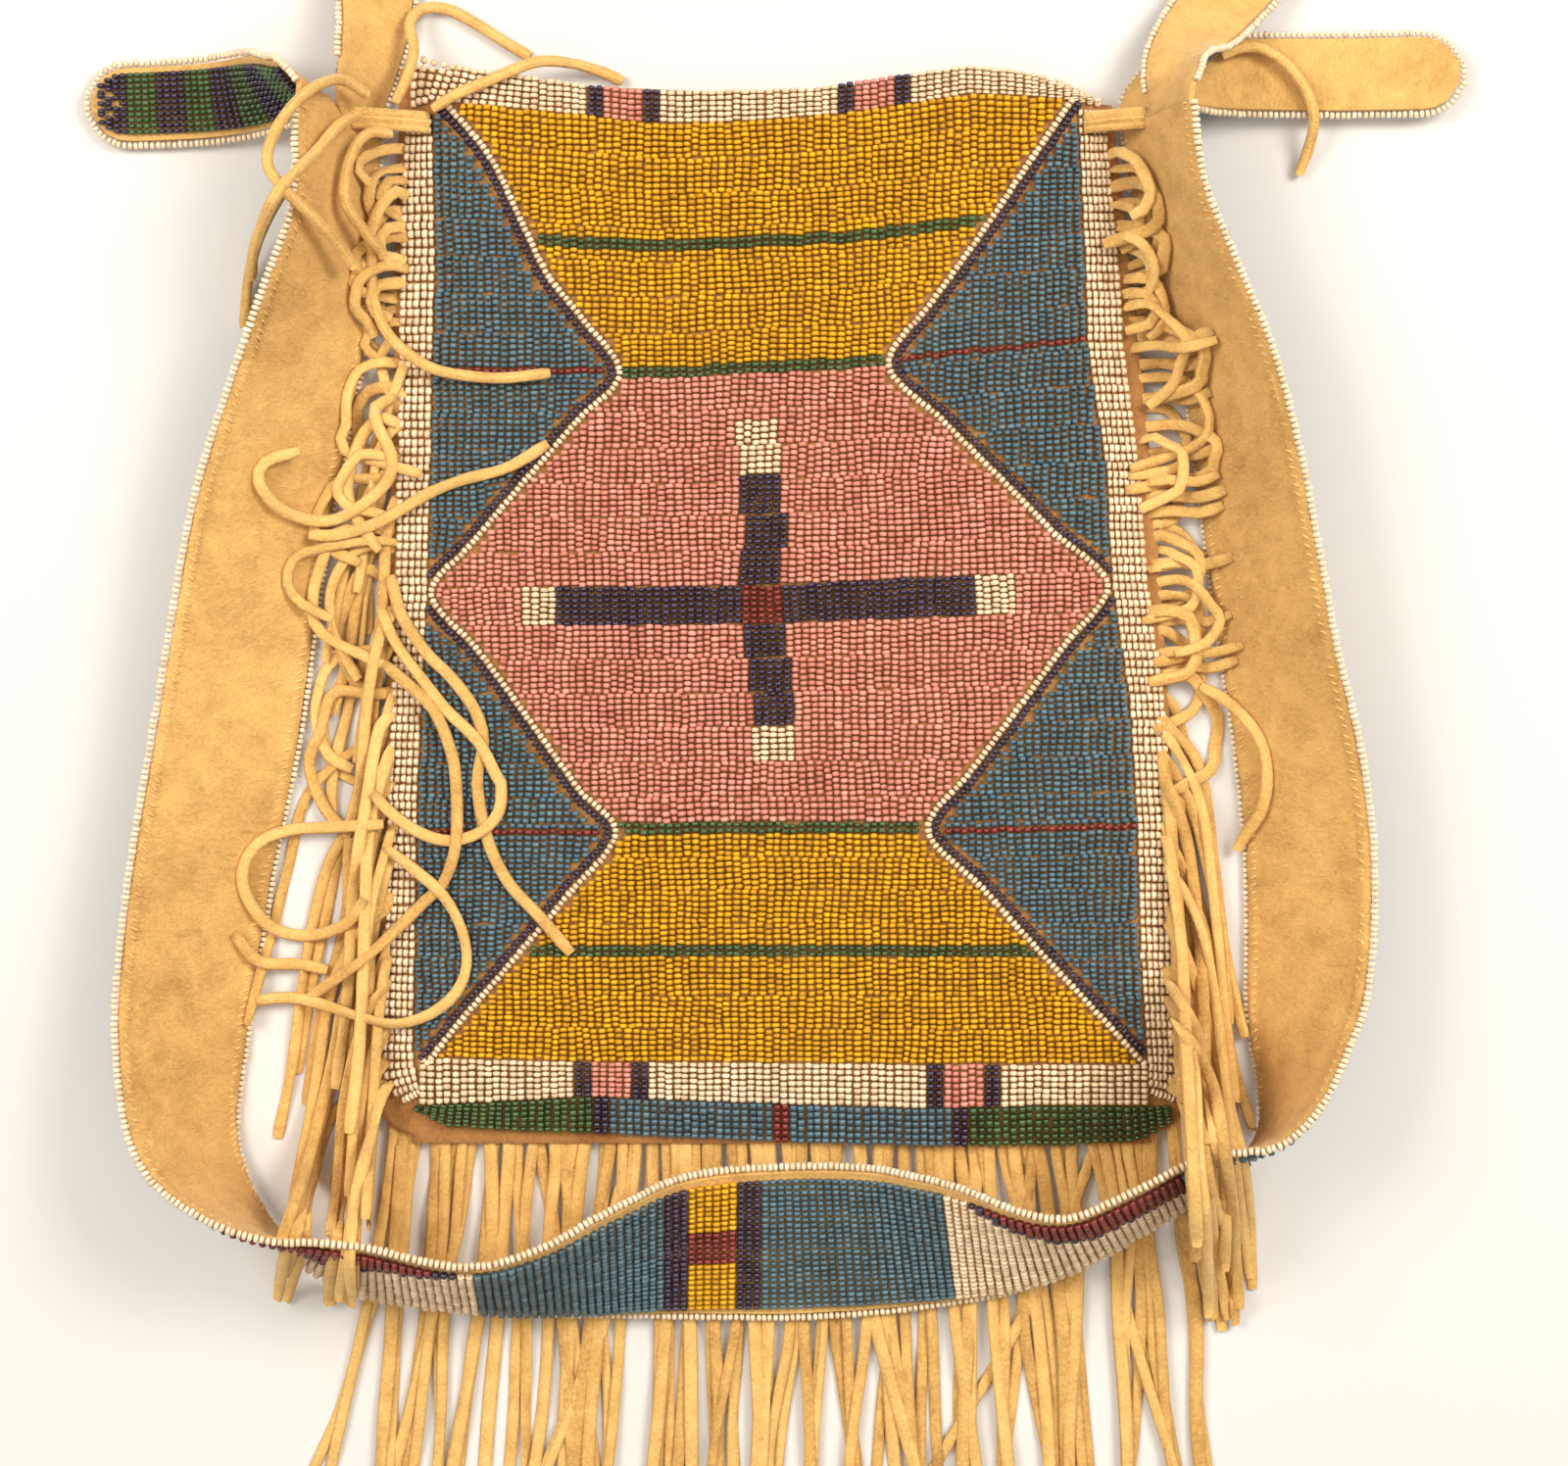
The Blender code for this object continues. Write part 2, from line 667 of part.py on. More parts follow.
def round_cord(name, points, thickness, material, resolution=STRING_RESOLUTION):
    """A round cord or string of beads along points, closed at both ends."""
    curve = bpy.data.curves.new(name, "CURVE")
    curve.dimensions = "3D"
    curve.bevel_depth = thickness / 2
    curve.bevel_resolution = resolution
    curve.use_fill_caps = True
    spline = curve.splines.new("POLY")
    spline.points.add(len(points) - 1)
    for control, point in zip(spline.points, points):
        control.co = (*point, 1.0)
    return add_object(name, curve, material)


class Tail:
    """One of the two tails of a strap end."""

    def __init__(self, name, fork, side, upper, route):
        self.name = name
        self.side = side
        self.upper = upper
        self.sections = tail_sections(fork, upper, side, route)

    def add_beadwork(self, glass):
        """Beads on the outer face of the tail."""
        sections = self.sections[TAIL_BEADS_FROM:-TAIL_BEADS_END]
        lift = HIDE / 2 + TWIST_GAP
        name = "tail_beadwork_" + self.name
        sheet = ribbon(name, sections, BEADWORK_INSET, lift, self.side < 0, glass["green"])
        thicken(sheet, BEADS, 1)

    def add_edging(self, glass):
        """The string of beads up one edge, round the tip and down the other edge."""
        sign = 1 if self.upper else -1
        outer = self.sections[TAIL_STRING_FROM:]
        inner = self.sections[: TAIL_NOTCH_FROM - 1 : -1]
        outline = [(part.edge(sign, 0.0), part.face) for part in outer]
        outline += [(part.edge(-sign, 0.0), part.face) for part in inner]
        points = []
        for i, (point, face) in enumerate(outline):
            ahead = outline[min(i + 1, len(outline) - 1)][0]
            behind = outline[max(i - 1, 0)][0]
            outwards = (ahead - behind).cross(face).normalized() * (-self.side * sign)
            points.append(point + outwards * (STRING_OFFSET + GAP))
        round_cord("tail_edging_" + self.name, points, BEAD_STRING, glass["ivory"])


def add_strap(hide, glass):
    """The strap with its tails, beadwork and edgings."""
    strap = strap_sections()
    left, right = strap[0], strap[-1]
    tails = (
        Tail("left_side", left, -1, True, LEFT_SIDE_TAIL),
        Tail("left_up", left, -1, False, LEFT_UP_TAIL),
        Tail("right_side", right, 1, False, RIGHT_SIDE_TAIL),
        Tail("right_up", right, 1, True, RIGHT_UP_TAIL),
    )
    add_strap_hide(strap, tails, hide)
    lift = HIDE / 2 + TWIST_GAP
    beadwork = ribbon("strap_beadwork", strap, BEADWORK_INSET, lift, False, glass["blue"])
    thicken(beadwork, BEADS, 1)
    for name, sign in (("upper", 1), ("lower", -1)):
        points = [part.edge(sign, STRING_OFFSET) for part in strap]
        round_cord("strap_edging_" + name, points, BEAD_STRING, glass["ivory"])
    for tail in tails:
        tail.add_beadwork(glass)
        tail.add_edging(glass)
    return strap


def add_corner_tie(name, side, strap, hide):
    """The thongs that hold a corner of the bag against the strap, as one short bundle."""
    y = mix(-BODY_HEIGHT / 2, BODY_HEIGHT / 2, TIE_ALONG)
    nearest = min(strap[:4] + strap[-4:], key=lambda part: abs(part.low.y - y) - side * part.low.x)
    anchor = nearest.low + nearest.width * STRAP_WIDTH * TIE_ON_STRAP
    inner = -nearest.face
    end = anchor + inner * (HIDE / 2 + TWIST_GAP)
    x = side_x(side, y) - side * TIE_ON_BORDER
    over = dome(x, y) + BEADS + TIE_CLEARANCE + TIE_THICKNESS / 2
    start = Vector((x, nearest.low.y, over))
    points = (end, end + inner * TIE_THICKNESS / 2, (end + start) / 2 + UP * TIE_ARCH, start)
    round_cord(name, points, TIE_THICKNESS, hide)


def add_thongs(hide):
    """The free ends of the thongs, each a limp cord where it lies."""
    for name, route in THONG_ROUTES.items():
        points = smooth_curve([Vector(point) * MM for point in route], THONG_STEP)
        round_cord(name, points, THONG, hide, THONG_RESOLUTION)


def main():
    """Builds the whole bag."""
    for old in list(bpy.data.objects):
        bpy.data.objects.remove(old, do_unlink=True)
    bpy.context.scene.collection.children.link(bpy.data.collections.new(BAG))
    hide = plain_material("buckskin", (0.62, 0.42, 0.17), 0.9)
    glass = {
        "ivory": plain_material("ivory beads", (0.83, 0.76, 0.62), 0.25),
        "pink": plain_material("pink beads", (0.62, 0.27, 0.22), 0.25),
        "green": plain_material("green beads", (0.04, 0.14, 0.05), 0.25),
        "blue": plain_material("blue beads", (0.06, 0.17, 0.27), 0.25),
    }
    add_back(hide)
    add_front(hide, glass)
    add_side_fringe("fringe_left", -1, hide)
    add_side_fringe("fringe_right", 1, hide)
    add_bottom_fringe(hide)
    strap = add_strap(hide, glass)
    add_corner_tie("corner_tie_left", -1, strap, hide)
    add_corner_tie("corner_tie_right", 1, strap, hide)
    add_thongs(hide)


main()
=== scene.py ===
"""Beaded medicine bag of smoked hide, lying on its back with its beaded front up.

Every bead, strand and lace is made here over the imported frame. A piece is worked out in millimetres
and becomes metres in its mesh. Plan places are pixels, right and down, of the 1600 by 1496 frame
that the camera sees from straight above.
"""

import logging
import math
from dataclasses import dataclass, field
from enum import Enum

import bpy
import numpy as np
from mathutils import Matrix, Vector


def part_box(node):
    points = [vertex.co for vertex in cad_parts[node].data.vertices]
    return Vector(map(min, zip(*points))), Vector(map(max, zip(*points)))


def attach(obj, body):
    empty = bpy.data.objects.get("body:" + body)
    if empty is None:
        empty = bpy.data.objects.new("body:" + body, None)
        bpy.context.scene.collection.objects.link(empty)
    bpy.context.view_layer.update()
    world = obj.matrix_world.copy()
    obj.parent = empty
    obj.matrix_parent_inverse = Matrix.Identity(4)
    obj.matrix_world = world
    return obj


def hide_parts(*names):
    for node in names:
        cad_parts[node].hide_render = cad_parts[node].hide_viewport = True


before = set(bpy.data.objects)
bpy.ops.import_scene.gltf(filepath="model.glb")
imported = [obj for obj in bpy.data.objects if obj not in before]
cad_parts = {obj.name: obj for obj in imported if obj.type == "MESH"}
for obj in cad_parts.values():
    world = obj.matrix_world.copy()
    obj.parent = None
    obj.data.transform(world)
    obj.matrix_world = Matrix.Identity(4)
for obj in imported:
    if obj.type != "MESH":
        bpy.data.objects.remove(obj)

Array = np.ndarray
MM = 0.001
UP = np.array([0.0, 0.0, 1.0])
BEAD_MAP = "OFBake"
log = logging.getLogger("medicine bag")


# Numbers and lines
def unit(vectors: Array) -> Array:
    """Vectors made one long."""
    return vectors / np.maximum(np.linalg.norm(vectors, axis=-1, keepdims=True), 1e-9)


def mix(start: Array | float, end: Array | float, share: Array | float) -> Array | float:
    """The value a share of the way from start to end."""
    return start + (end - start) * share


def rise(share: Array) -> Array:
    """A quarter sine from 0 to 1, held at its ends."""
    return np.sin(math.pi / 2 * np.clip(share, 0.0, 1.0))


def ease(share: Array) -> Array:
    """A smooth step from 0 to 1."""
    share = np.clip(share, 0.0, 1.0)
    return share * share * (3 - 2 * share)


def smooth_line(points: Array, step: float) -> Array:
    """A Catmull-Rom line through points.

    Args:
        points: Rows whose first numbers, up to three, are a place.
        step: About how far apart the new points are.

    Returns:
        The new rows, with the last point as it was.
    """
    points = np.asarray(points, float)
    ends = np.vstack([2 * points[0] - points[1], points, 2 * points[-1] - points[-2]])
    rows = []
    for before, start, end, after in zip(ends, ends[1:], ends[2:], ends[3:]):
        count = max(1, round(float(np.linalg.norm((end - start)[:3])) / step))
        t = (np.arange(count) / count)[:, None]
        rows.append(
            0.5
            * (
                2 * start
                + (end - before) * t
                + (2 * before - 5 * start + 4 * end - after) * t**2
                + (3 * start - before - 3 * end + after) * t**3
            )
        )
    return np.vstack([*rows, points[-1:]])


def lengths_along(points: Array) -> Array:
    """How far along its line each point is."""
    steps = np.linalg.norm(np.diff(points[:, :3], axis=0), axis=1)
    return np.concatenate([[0.0], np.cumsum(steps)])


def at_lengths(points: Array, wanted: Array) -> Array:
    """Rows of a line at the wanted lengths along it."""
    along = lengths_along(points)
    return np.stack([np.interp(wanted, along, column) for column in points.T], axis=1)


def evenly(points: Array, pitch: float) -> Array:
    """Rows of a line at the middles of equal steps of about one pitch."""
    total = lengths_along(points)[-1]
    count = max(2, round(total / pitch))
    return at_lengths(points, (np.arange(count) + 0.5) * total / count)


def wander(rng: np.random.Generator, count: int, wave: float, size: float) -> Array:
    """A smooth random line.

    Args:
        rng: Source of the numbers.
        count: How many values it has.
        wave: About how many values lie between two turns.
        size: How far it strays from zero.

    Returns:
        The values.
    """
    knots = rng.normal(0.0, size, max(4, int(count / wave) + 3))
    at = np.linspace(0, len(knots) - 1.001, count)
    low = at.astype(int)
    return mix(knots[low], knots[low + 1], ease(at - low))


def table(rows: tuple[tuple[float, float], ...], at: Array) -> Array:
    """Values of a table of (place, value) rows on straight lines between them."""
    places, values = zip(*rows)
    return np.interp(at, places, values)


# Finishes
class Signal:
    """A socket that takes part in Python arithmetic through Math nodes."""

    def __init__(self, tree: "NodeTree", socket: bpy.types.NodeSocket) -> None:
        """Wraps one output socket."""
        self.tree, self.socket = tree, socket

    def _math(self, operation: str, *values: "Signal | float") -> "Signal":
        """One Math node over these values."""
        made = self.tree.node("ShaderNodeMath", {"operation": operation}, dict(enumerate(values)))
        return Signal(self.tree, made.outputs[0])

    def __add__(self, other: "Signal | float") -> "Signal":
        """self + other."""
        return self._math("ADD", self, other)

    def __sub__(self, other: "Signal | float") -> "Signal":
        """self - other."""
        return self._math("SUBTRACT", self, other)

    def __rsub__(self, other: float) -> "Signal":
        """other - self."""
        return self._math("SUBTRACT", other, self)

    def __mul__(self, other: "Signal | float") -> "Signal":
        """self * other."""
        return self._math("MULTIPLY", self, other)

    def __truediv__(self, other: "Signal | float") -> "Signal":
        """self / other."""
        return self._math("DIVIDE", self, other)

    def __pow__(self, other: float) -> "Signal":
        """self to a power."""
        return self._math("POWER", self, other)

    __radd__, __rmul__ = __add__, __mul__

    def size(self) -> "Signal":
        """The value without its sign."""
        return self._math("ABSOLUTE", self)

    def floor(self) -> "Signal":
        """The whole number below the value."""
        return self._math("FLOOR", self)

    def part(self) -> "Signal":
        """What is left of the value past its whole number."""
        return self._math("FRACT", self)

    def band(self, low: float, high: float) -> "Signal":
        """0 below low, 1 above high and smooth between them."""
        made = self.tree.node(
            "ShaderNodeMapRange",
            {"interpolation_type": "SMOOTHSTEP", "clamp": True},
            {"Value": self, "From Min": low, "From Max": high},
        )
        return Signal(self.tree, made.outputs["Result"])


class NodeTree:
    """The nodes of one finish while it is made."""

    def __init__(self, name: str) -> None:
        """Starts a material with its own shader."""
        self.material = bpy.data.materials.new(name)
        self.material.use_nodes = True
        self.nodes = self.material.node_tree.nodes
        self.links = self.material.node_tree.links
        self.shader = self.nodes["Principled BSDF"]

    def node(self, kind: str, settings: dict | None = None, values: dict | None = None) -> bpy.types.Node:
        """Adds a node.

        Args:
            kind: The node's type.
            settings: Its own settings; "stops" are a ramp's (place, colour) rows.
            values: What its sockets get, by name or number: a value, a socket or a Signal.

        Returns:
            The node.
        """
        made = self.nodes.new(kind)
        for name, setting in (settings or {}).items():
            if name == "stops":
                self._set_stops(made.color_ramp, setting)
            else:
                setattr(made, name, setting)
        self.feed(made, values or {})
        return made

    def feed(self, node: bpy.types.Node, values: dict) -> None:
        """Gives a node's sockets their values or links."""
        for name, value in values.items():
            socket = node.inputs[name]
            source = value.socket if isinstance(value, Signal) else value
            if isinstance(source, bpy.types.NodeSocket):
                self.links.new(source, socket)
            else:
                socket.default_value = source

    @staticmethod
    def _set_stops(ramp: bpy.types.ColorRamp, stops: tuple) -> None:
        """Puts (place, colour) rows in a ramp."""
        while len(ramp.elements) < len(stops):
            ramp.elements.new(1.0)
        for element, (place, colour) in zip(ramp.elements, stops):
            element.position, element.color = place, (*colour, 1.0)

    def object_places(self) -> bpy.types.NodeSocket:
        """Places in the bag's own frame."""
        return self.node("ShaderNodeTexCoord").outputs["Object"]

    def map_places(self, name: str) -> tuple[Signal, Signal, bpy.types.NodeSocket]:
        """The two numbers of a UV map and the map itself."""
        source = self.node("ShaderNodeUVMap", {"uv_map": name}).outputs["UV"]
        parts = self.node("ShaderNodeSeparateXYZ", values={0: source})
        return Signal(self, parts.outputs[0]), Signal(self, parts.outputs[1]), source

    def stretched(self, places: bpy.types.NodeSocket, scale: tuple[float, float, float]) -> bpy.types.NodeSocket:
        """Places scaled apart along each axis."""
        return self.node("ShaderNodeMapping", values={"Vector": places, "Scale": scale}).outputs[0]

    def noise(self, places: bpy.types.NodeSocket, scale: float, detail: float = 2.0, twist: float = 0.0) -> Signal:
        """Cloudy noise from about 0 to 1."""
        made = self.node(
            "ShaderNodeTexNoise",
            values={"Vector": places, "Scale": scale, "Detail": detail, "Distortion": twist},
        )
        return Signal(self, made.outputs[0])

    def ramp(self, value: Signal, *stops: tuple) -> bpy.types.NodeSocket:
        """Colours along (place, colour) stops."""
        return self.node("ShaderNodeValToRGB", {"stops": stops}, {0: value}).outputs[0]

    def blend(self, share: Signal | float, low: object, high: object, way: str = "MIX") -> bpy.types.NodeSocket:
        """Two colours mixed by a share."""
        settings = {"data_type": "RGBA", "blend_type": way}
        return self.node("ShaderNodeMix", settings, {0: share, 6: low, 7: high}).outputs[2]

    def bump(self, height: Signal, distance: float, strength: float = 1.0) -> None:
        """Feeds a height to the shader's normal."""
        made = self.node("ShaderNodeBump", values={"Height": height, "Distance": distance, "Strength": strength})
        self.feed(self.shader, {"Normal": made.outputs[0]})


def linear(colour: tuple[float, float, float]) -> tuple[float, float, float]:
    """Light amounts of a colour of 0 to 255 numbers."""
    parts = (value / 255 for value in colour)
    return tuple(x / 12.92 if x <= 0.04045 else ((x + 0.055) / 1.055) ** 2.4 for x in parts)


class Glass(Enum):
    """The bead colours: record slot, then dark, middle and light tones."""

    IVORY = ("ivory_beads", (205, 176, 138), (238, 212, 176), (252, 234, 204))
    PINK = ("pink_beads", (186, 108, 92), (218, 140, 122), (238, 168, 150))
    YELLOW = ("yellow_beads", (178, 124, 0), (214, 156, 0), (240, 184, 6))
    BLUE = ("blue_beads", (58, 82, 92), (76, 104, 116), (98, 128, 138))
    NAVY = ("navy_beads", (38, 28, 46), (52, 40, 62), (70, 56, 84))
    GREEN = ("green_beads", (44, 66, 34), (60, 86, 46), (80, 108, 62))
    RED = ("red_beads", (92, 26, 24), (122, 38, 36), (150, 54, 50))

    @property
    def slot(self) -> str:
        """The record's material slot."""
        return self.value[0]

    def finish(self) -> bpy.types.Material:
        """Glossy opaque glass whose tone varies from bead to bead, with painted shade darkening each bead towards its
        ends.
        """
        tree = NodeTree(self.name.lower() + " glass")
        tone, along, _ = tree.map_places(BEAD_MAP)
        stops = zip((0.0, 0.5, 1.0), (linear(colour) for colour in self.value[1:]))
        colour = tree.ramp(tone, *stops)
        # Painted shade: each bead's colour darkens towards its ends, where it meets its neighbours and its hole opens.
        hole = ((along - 0.5).size()).band(0.30, 0.5)
        shadow = tuple(part * 0.35 for part in linear(self.value[1]))
        values = {
            "Base Color": tree.blend(hole, colour, (*shadow, 1.0)),
            "Roughness": tone * 0.12 + 0.20,
            "Specular IOR Level": 0.55,
            "Coat Weight": 0.25,
            "Coat Roughness": 0.12,
        }
        tree.feed(tree.shader, values)
        return tree.material


@dataclass(frozen=True)
class HideFinish:
    """Smoked hide with a soft nap."""

    name: str = "smoked hide"
    dark: tuple[float, float, float] = (160, 116, 58)
    middle: tuple[float, float, float] = (214, 168, 98)
    light: tuple[float, float, float] = (244, 202, 122)
    nap: float = 0.00045

    def make(self, lay: str | None = None) -> bpy.types.Material:
        """Builds the finish.

        Args:
            lay: A UV map in metres along and across the hide, which the nap follows.

        Returns:
            The material.
        """
        tree = NodeTree(self.name)
        places = tree.object_places()
        clouds = tree.noise(places, 38.0, 3.0)
        blotches = tree.noise(places, 150.0, 4.0, 0.6)
        grain = tree.noise(places, 1300.0, 3.0)
        if lay:
            _, _, lay_places = tree.map_places(lay)
            nap = tree.noise(tree.stretched(lay_places, (900.0, 420.0, 1.0)), 1.0, 3.0, 1.6)
        else:
            nap = tree.noise(places, 700.0, 3.0, 1.0)
        tone = clouds * 0.35 + blotches * 0.35 + nap * 0.35 + grain * 0.15 - 0.1
        colour = tree.ramp(tone, (0.22, linear(self.dark)), (0.5, linear(self.middle)), (0.8, linear(self.light)))
        tree.feed(
            tree.shader,
            {
                "Base Color": colour,
                "Roughness": nap * 0.1 + 0.85,
                "Specular IOR Level": 0.25,
                "Sheen Weight": 0.35,
                "Sheen Roughness": 0.5,
                "Sheen Tint": (1.0, 0.86, 0.62, 1.0),
            },
        )
        tree.bump(nap * 0.7 + grain * 0.3, self.nap)
        return tree.material


# Where things lie
@dataclass(frozen=True)
class PlanView:
    """The camera's view from straight above, between plan places and millimetres."""

    eye: tuple[float, float, float] = (3.36, -33.1, 750.0)
    reach: float = 3077.0
    middle: tuple[float, float] = (800.0, 748.0)
    lens: float = 69.2

    def place(self, plan: Array, height: Array | float) -> Array:
        """Millimetres of plan places at a height."""
        scale = (self.eye[2] - np.asarray(height, float)) / self.reach
        x = (plan[..., 0] - self.middle[0]) * scale + self.eye[0]
        y = (self.middle[1] - plan[..., 1]) * scale + self.eye[1]
        return np.stack([x, y, np.broadcast_to(height, x.shape).astype(float)], axis=-1)

    def plan(self, points: Array) -> Array:
        """Plan places of points."""
        scale = self.reach / (self.eye[2] - points[..., 2])
        u = (points[..., 0] - self.eye[0]) * scale + self.middle[0]
        v = self.middle[1] - (points[..., 1] - self.eye[1]) * scale
        return np.stack([u, v], axis=-1)


@dataclass(frozen=True)
class BodyForm:
    """Outline and dome of the bag's body, as in its solid."""

    height: float = 248.5
    mouth_width: float = 171.0
    bottom_width: float = 194.5
    mouth_centre: float = -3.6
    bottom_centre: float = 2.3
    right_bulge: float = 3.5
    corner: float = 9.0
    foot: float = -132.05
    edge_top: float = 4.8
    dome: float = 5.7
    side_roll: float = 22.0
    bottom_roll: float = 16.0
    wave_depth: float = 70.0
    edge_roll: float = 4.2
    wave: tuple[tuple[float, float], ...] = (
        (0.00, 7.0), (0.10, 5.0), (0.26, 1.2), (0.45, 0.0),
        (0.62, 1.0), (0.80, 6.0), (0.90, 4.0), (1.00, -2.0),
    )

    def side(self, sign: int, y: Array) -> Array:
        """The body's side at a height along it: -1 is the left one and 1 the right one."""
        up = (y + self.height / 2) / self.height
        centre = mix(self.bottom_centre, self.mouth_centre, up)
        half = mix(self.bottom_width, self.mouth_width, up) / 2
        if sign > 0:
            half = half + self.right_bulge * np.sin(math.pi * np.clip(up, 0.0, 1.0))
        above = y - self.foot
        drop = np.where(above < self.corner, self.corner - np.clip(above, 0.0, self.corner), 0.0)
        return centre + sign * (half - self.corner + np.sqrt(self.corner**2 - drop**2))

    def mouth_wave(self, x: Array, y: Array) -> Array:
        """How far the lanes near the mouth rise above a straight line."""
        left, right = self.side(-1, y), self.side(1, y)
        fade = rise(1 - (self.height / 2 - y) / self.wave_depth)
        return table(self.wave, (x - left) / (right - left)) * fade

    def hide_height(self, x: Array, y: Array) -> Array:
        """Height of the front hide, which rolls down past the body's edge."""
        level = y - self.mouth_wave(x, y)
        left, right = self.side(-1, level), self.side(1, level)
        sides = rise((x - left) / self.side_roll) * rise((right - x) / self.side_roll)
        top = self.edge_top + self.dome * sides * rise((level - self.foot) / self.bottom_roll)
        past = np.clip(np.maximum.reduce([left - x, x - right, self.foot - level]), 0.0, self.edge_roll)
        return top - self.edge_roll + np.sqrt(self.edge_roll**2 - past**2)


VIEW = PlanView()
BODY = BodyForm()


def drape(plan: Array, lift: Array | float) -> Array:
    """Points over the front hide, a lift above it, that show at plan places."""
    height = np.full(plan.shape[:-1], 11.0)
    for _ in range(4):
        place = VIEW.place(plan, height)
        height = BODY.hide_height(place[..., 0], place[..., 1]) + lift
    return VIEW.place(plan, height)


def hide_normals(points: Array) -> Array:
    """Directions straight off the front hide."""
    x, y, reach = points[..., 0], points[..., 1], 0.8
    slope_x = (BODY.hide_height(x + reach, y) - BODY.hide_height(x - reach, y)) / (2 * reach)
    slope_y = (BODY.hide_height(x, y + reach) - BODY.hide_height(x, y - reach)) / (2 * reach)
    return unit(np.stack([-slope_x, -slope_y, np.ones_like(x)], axis=-1))


class Pile:
    """Heights of all that lies on the surface so far, on a fine grid."""

    def __init__(self, low: tuple[float, float], high: tuple[float, float], cell: float = 0.5) -> None:
        """Starts with the bare surface."""
        self.low, self.cell = np.array(low), cell
        self.heights = np.zeros(np.ceil((np.array(high) - self.low) / cell).astype(int) + 1)

    def _cells(self, points: Array) -> tuple[Array, Array]:
        """Grid rows and columns of points."""
        at = np.rint((points[..., :2] - self.low) / self.cell).astype(int)
        return (
            np.clip(at[..., 0], 0, self.heights.shape[0] - 1),
            np.clip(at[..., 1], 0, self.heights.shape[1] - 1),
        )

    def stamp(self, points: Array) -> None:
        """Raises the pile to points on top of it."""
        points = points.reshape(-1, 3)
        np.maximum.at(self.heights, self._cells(points), points[:, 2])

    def stamp_body(self, cover: float) -> None:
        """Raises the pile to the body and its beads."""
        rows, columns = self.heights.shape
        x = (self.low[0] + np.arange(rows) * self.cell)[:, None] + np.zeros((1, columns))
        y = (self.low[1] + np.arange(columns) * self.cell)[None, :] + np.zeros((rows, 1))
        level = y - BODY.mouth_wave(x, y)
        inside = (x > BODY.side(-1, level)) & (x < BODY.side(1, level))
        inside &= (level > BODY.foot) & (level < BODY.height / 2)
        top = np.where(inside, BODY.hide_height(x, y) + cover, 0.0)
        self.heights = np.maximum(self.heights, top)

    def under(self, points: Array, half: float = 1.2) -> Array:
        """The highest thing under each point of a line, across its width."""
        heading = unit(np.gradient(points[:, :2], axis=0))
        across = np.stack([-heading[:, 1], heading[:, 0]], axis=1)
        tops = []
        for offset in (-half, -half / 2, 0.0, half / 2, half):
            place = points[:, :2] + across * offset
            tops.append(self.heights[self._cells(place)])
        return np.max(tops, axis=0)


# Pieces
class Bench:
    """Makes the bag's pieces and enters each in the frame."""

    def __init__(self) -> None:
        """Starts with no pieces and no finishes."""
        self.glass = {colour: colour.finish() for colour in Glass}
        self.made: list[bpy.types.Object] = []

    @staticmethod
    def clear() -> None:
        """Leaves nothing selected."""
        if bpy.context.object and bpy.context.object.mode != "OBJECT":
            bpy.ops.object.mode_set(mode="OBJECT")
        bpy.ops.object.select_all(action="DESELECT")

    def take(self, name: str, points: Array, faces: list[Array]) -> bpy.types.Object:
        """Makes an object of vertices in millimetres and blocks of equal faces.

        Args:
            name: The piece's name.
            points: Vertices, N by 3.
            faces: Blocks of vertex numbers, each M by the corners of its faces.

        Returns:
            The new object, smooth shaded.
        """
        mesh = bpy.data.meshes.new(name)
        mesh.vertices.add(len(points))
        mesh.vertices.foreach_set("co", (points * MM).astype(np.float32).ravel())
        corners = np.concatenate([block.ravel() for block in faces]).astype(np.int32)
        counts = np.concatenate([np.full(len(block), block.shape[1]) for block in faces])
        mesh.loops.add(len(corners))
        mesh.loops.foreach_set("vertex_index", corners)
        mesh.polygons.add(len(counts))
        mesh.polygons.foreach_set("loop_start", (np.cumsum(counts) - counts).astype(np.int32))
        mesh.polygons.foreach_set("use_smooth", np.ones(len(counts), bool))
        mesh.update(calc_edges=True)
        mesh.validate()
        piece = bpy.data.objects.new(name, mesh)
        bpy.context.scene.collection.objects.link(piece)
        return piece

    def apply(self, piece: bpy.types.Object) -> None:
        """Applies a piece's modifiers in their order."""
        self.clear()
        bpy.context.view_layer.objects.active = piece
        piece.select_set(True)
        for modifier in list(piece.modifiers):
            bpy.ops.object.modifier_apply(modifier=modifier.name)

    def enter(self, piece: bpy.types.Object, finish: bpy.types.Material, slot: str, *stands_for: str) -> None:
        """Gives a piece its finish and its place in the frame."""
        piece.data.materials.append(finish)
        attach(piece, "root")
        if stands_for:
            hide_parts(*stands_for)
        piece.data.calc_loop_triangles()
        log.info("%s: %d triangles", piece.name, len(piece.data.loop_triangles))
        self.made.append(piece)

    def drop_into(self, piece: bpy.types.Object, name: str, values: Array) -> None:
        """Adds a UV map from one place for each corner."""
        layer = piece.data.uv_layers.new(name=name, do_init=False)
        layer.uv.foreach_set("vector", values.astype(np.float32).ravel())


